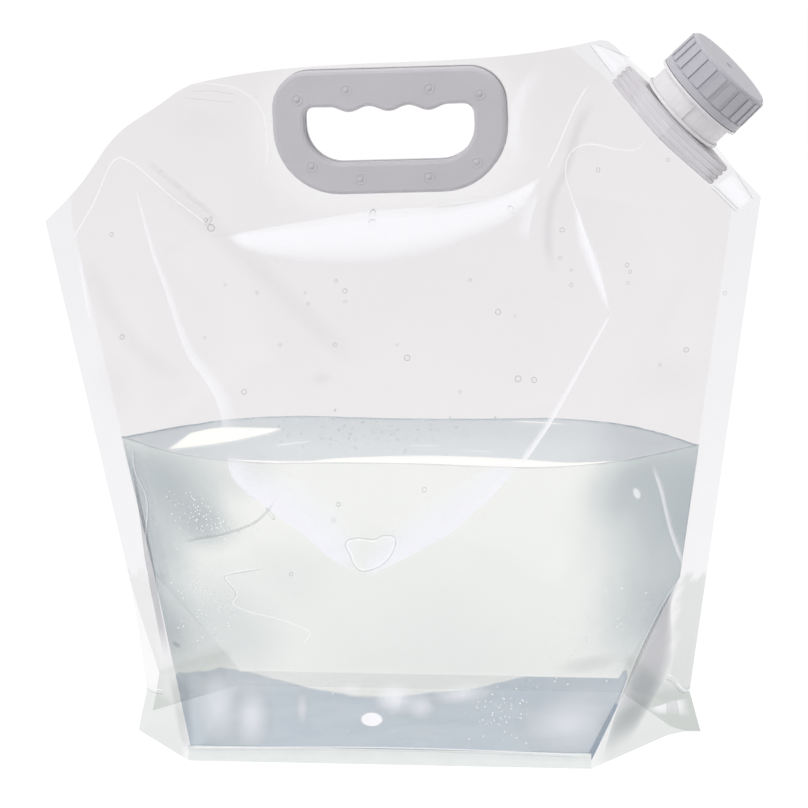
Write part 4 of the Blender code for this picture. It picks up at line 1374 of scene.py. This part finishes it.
# %% [markdown]
# Two details of the mouldings are finer than their solids. The rear shell's
# eight snap pins press rings and small domes into the front shell's face. And
# the neck carries the cap's thread, a ridge that climbs 4 mm with each turn and
# shows once the cap is off.

# %% Pin marks
# Places along and up the handle, then two profiles of (radius, height), all in mm
PINS = [(-41.8, 15.8), (-19.1, 19.6), (19, 19.3), (42.2, 16.1), (-36.6, -15.1),
        (-14.1, -21.4), (17.2, -21.3), (39.5, -15.2)]
PIN_RING = [(2.9, -0.2), (2.75, 0.06), (2.4, 0.2), (2.05, 0.06), (1.9, -0.2)]
PIN_DOME = [(1.25, -0.2), (1.15, 0.14), (0.8, 0.34), (0.4, 0.42), (0.02, 0.44)]
PIN_SIDES, PIN_JOIN = 28, 0.003 * MM


def turned_ring(shape, middle, profile):
    """A profile of (radius, height) turned about a line through the handle's face."""
    grid = []
    for step in range(PIN_SIDES + 1):
        angle = 2 * math.pi * step / PIN_SIDES
        out = math.cos(angle) * ALONG + math.sin(angle) * UP
        grid.append([shape.verts.new(middle + r * MM * out + Vector((0, -h * MM, 0)))
                     for r, h in profile])
    grid_faces(shape, grid)


def pin_marks():
    shape = bmesh.new()
    for along, up in PINS:
        middle = HANDLE_CENTRE + along * MM * ALONG + up * MM * UP
        middle.y = -HANDLE_FACE
        turned_ring(shape, middle, PIN_RING)
        turned_ring(shape, middle, PIN_DOME)
    bmesh.ops.remove_doubles(shape, verts=shape.verts, dist=PIN_JOIN)
    piece = finish_piece("pin_marks", shape, [handle_grey])


pin_marks()

# %% Thread
SPOUT_FOOT = Vector((0.1127984, 0, 0.2787069))
SPOUT_AXIS = Vector((0.7203909, 0, 0.6935683))
THREAD_LEAD, THREAD_LOW, THREAD_TURNS = 4 * MM, 26.6 * MM, 2.6
THREAD_ROOT, THREAD_CREST, THREAD_HALF = 18.9 * MM, 20.1 * MM, 1.0 * MM
TURN_STEPS, FADE_STEPS = 48, 6


def neck_thread():
    """A ridge that winds up the neck and fades into it at both ends."""
    shape = bmesh.new()
    side = Vector((-SPOUT_AXIS.z, 0, SPOUT_AXIS.x))
    steps = int(TURN_STEPS * THREAD_TURNS)
    grid = []
    for step in range(steps + 1):
        angle = 2 * math.pi * step / TURN_STEPS
        out = math.cos(angle) * side + math.sin(angle) * Vector((0, 1, 0))
        rise = THREAD_LOW + THREAD_LEAD * angle / (2 * math.pi)
        fade = smooth(min(step, steps - step) / FADE_STEPS)
        crest = mix(THREAD_ROOT, THREAD_CREST, fade)
        profile = [(THREAD_ROOT, -THREAD_HALF), (crest, -THREAD_HALF / 3),
                   (crest, THREAD_HALF / 3), (THREAD_ROOT, THREAD_HALF)]
        grid.append([shape.verts.new(SPOUT_FOOT + r * out + (rise + h) * SPOUT_AXIS)
                     for r, h in profile])
    grid_faces(shape, grid)
    piece = finish_piece("neck_thread", shape, [spout_milky])


neck_thread()

# %% [markdown]
# The mouldings keep their solids. Each gets its finish in the slot that its
# mesh already has, so nothing about its shape changes.


# %% Finishes on the solids
def dress(node, surface):
    solid = nodes[node]
    solid.data.materials.clear()
    solid.data.materials.append(surface)
    print(node, "wears", surface.name)


for node in ("handle_front", "handle_rear"):
    dress(node, handle_grey)
dress("front_hem", hem_front)
dress("rear_hem", hem_rear)
dress("spout_fitment", spout_milky)
dress("screw_cap", cap_grey)
dress("cap_liner", foam_white)

# %% [markdown]
# The stage is a wide pale floor. It shows the camera plain white, as the sweep
# behind a catalogue shot does, and keeps a faint part that takes light, so that
# a soft shadow stays under the bag.


# %% Floor
FLOOR_COLOUR = (0.9, 0.9, 0.9, 1)
FLOOR_GLOW, GLOW_SHARE = 1.08, 0.84
FLOOR_HALF, FLOOR_DROP = 6.0, 0.2 * MM


def seen_or_mirrored(finish):
    """1 for rays that see or mirror or pass to a surface, 0 for plain light."""
    seen, glossy, through = (finish.node("LightPath", output=name) for name in (
        "Is Camera Ray", "Is Glossy Ray", "Is Transmission Ray"))
    return seen.bigger(glossy).bigger(through)


def floor_finish():
    finish = Finish("pale floor")
    lit = finish.node("BsdfDiffuse", {}, {"Color": FLOOR_COLOUR})
    glow = finish.node("Emission", {}, {"Color": WHITE, "Strength": FLOOR_GLOW})
    return finish.done(finish.either(GLOW_SHARE * seen_or_mirrored(finish), lit, glow))


def make_floor():
    shape = bmesh.new()
    bmesh.ops.create_grid(shape, x_segments=8, y_segments=8, size=FLOOR_HALF)
    mesh = bpy.data.meshes.new("floor")
    shape.to_mesh(mesh)
    shape.free()
    mesh.materials.append(floor_finish())
    floor = bpy.data.objects.new("floor", mesh)
    bpy.context.scene.collection.objects.link(floor)
    floor.location.z = -FLOOR_DROP
    print("floor", 2 * FLOOR_HALF, "m wide")


make_floor()

# %% [markdown]
# Light comes from all round at an even level, with one soft lamp high on the
# left in front and a second above the spout, which lights the cap's top and
# leaves its lower right side dark. Together they show a colour about as it is
# written. Rays that see or mirror the world find plain white, and the lamps are
# kept out of mirrors, so that they leave no hard spots on the film.


# %% World and lamps
WORLD_LEVEL = 0.49
LAMP_AIM = Vector((0, 0, 0.18))
KEY_PLACE, KEY_SIZE, KEY_POWER = Vector((-0.91, -1.17, 2.13)), 1.6, 52
TOP_PLACE, TOP_SIZE, TOP_POWER = Vector((1.44, 0.24, 1.92)), 1.0, 17


def make_world():
    studio = Finish("studio", kind="worlds")
    strength = mix(WORLD_LEVEL, 1.0, seen_or_mirrored(studio))
    sky = studio.node("Background", {}, {"Color": WHITE, "Strength": strength})
    bpy.context.scene.world = studio.done(sky, "OutputWorld")


def soft_lamp(name, place, size, power):
    """A square lamp that faces the bag. Its place is measured from its aim."""
    lamp = bpy.data.lights.new(name, "AREA")
    lamp.size, lamp.energy = size, power
    holder = bpy.data.objects.new(name, lamp)
    bpy.context.scene.collection.objects.link(holder)
    holder.location = LAMP_AIM + place
    holder.visible_glossy = False
    holder.rotation_euler = (-place).to_track_quat("-Z", "Y").to_euler()


make_world()
soft_lamp("key lamp", KEY_PLACE, KEY_SIZE, KEY_POWER)
soft_lamp("top lamp", TOP_PLACE, TOP_SIZE, TOP_POWER)
print("world and two lamps ready")

# %% [markdown]
# The camera stands 2.65 m away, a little to the right and a little above, as
# the perspective of the photographed bag says. A long lens keeps the bag's
# edges nearly parallel. The small turn and shift match the framing.

# %% Camera
CAMERA_TURN, CAMERA_RISE, CAMERA_ROLL = (math.radians(a) for a in (7.5, 11.0, 0.7))
CAMERA_FAR = 2.65
AIM = Vector((0, 0, 0.150))
LENS, SENSOR = 256.7, 36  # the camera's own millimetres
SHIFT_RIGHT, SHIFT_UP = -0.0168, 0.0062


def make_camera():
    back = Vector((math.sin(CAMERA_TURN) * math.cos(CAMERA_RISE),
                   -math.cos(CAMERA_TURN) * math.cos(CAMERA_RISE), math.sin(CAMERA_RISE)))
    right = Vector((math.cos(CAMERA_TURN), math.sin(CAMERA_TURN), 0))
    up = back.cross(right)
    turned_right = math.cos(CAMERA_ROLL) * right - math.sin(CAMERA_ROLL) * up
    turned_up = math.sin(CAMERA_ROLL) * right + math.cos(CAMERA_ROLL) * up
    data = bpy.data.cameras.new("camera")
    data.lens, data.sensor_width = LENS, SENSOR
    data.shift_x, data.shift_y = SHIFT_RIGHT, SHIFT_UP
    camera = bpy.data.objects.new("camera", data)
    bpy.context.scene.collection.objects.link(camera)
    eye = AIM + back * CAMERA_FAR
    rows = [[turned_right[i], turned_up[i], back[i], eye[i]] for i in range(3)]
    camera.matrix_world = Matrix([*rows, [0, 0, 0, 1]])
    bpy.context.scene.camera = camera
    bpy.context.scene.view_settings.view_transform = "Standard"
    print("camera at", [round(v, 3) for v in eye])


make_camera()
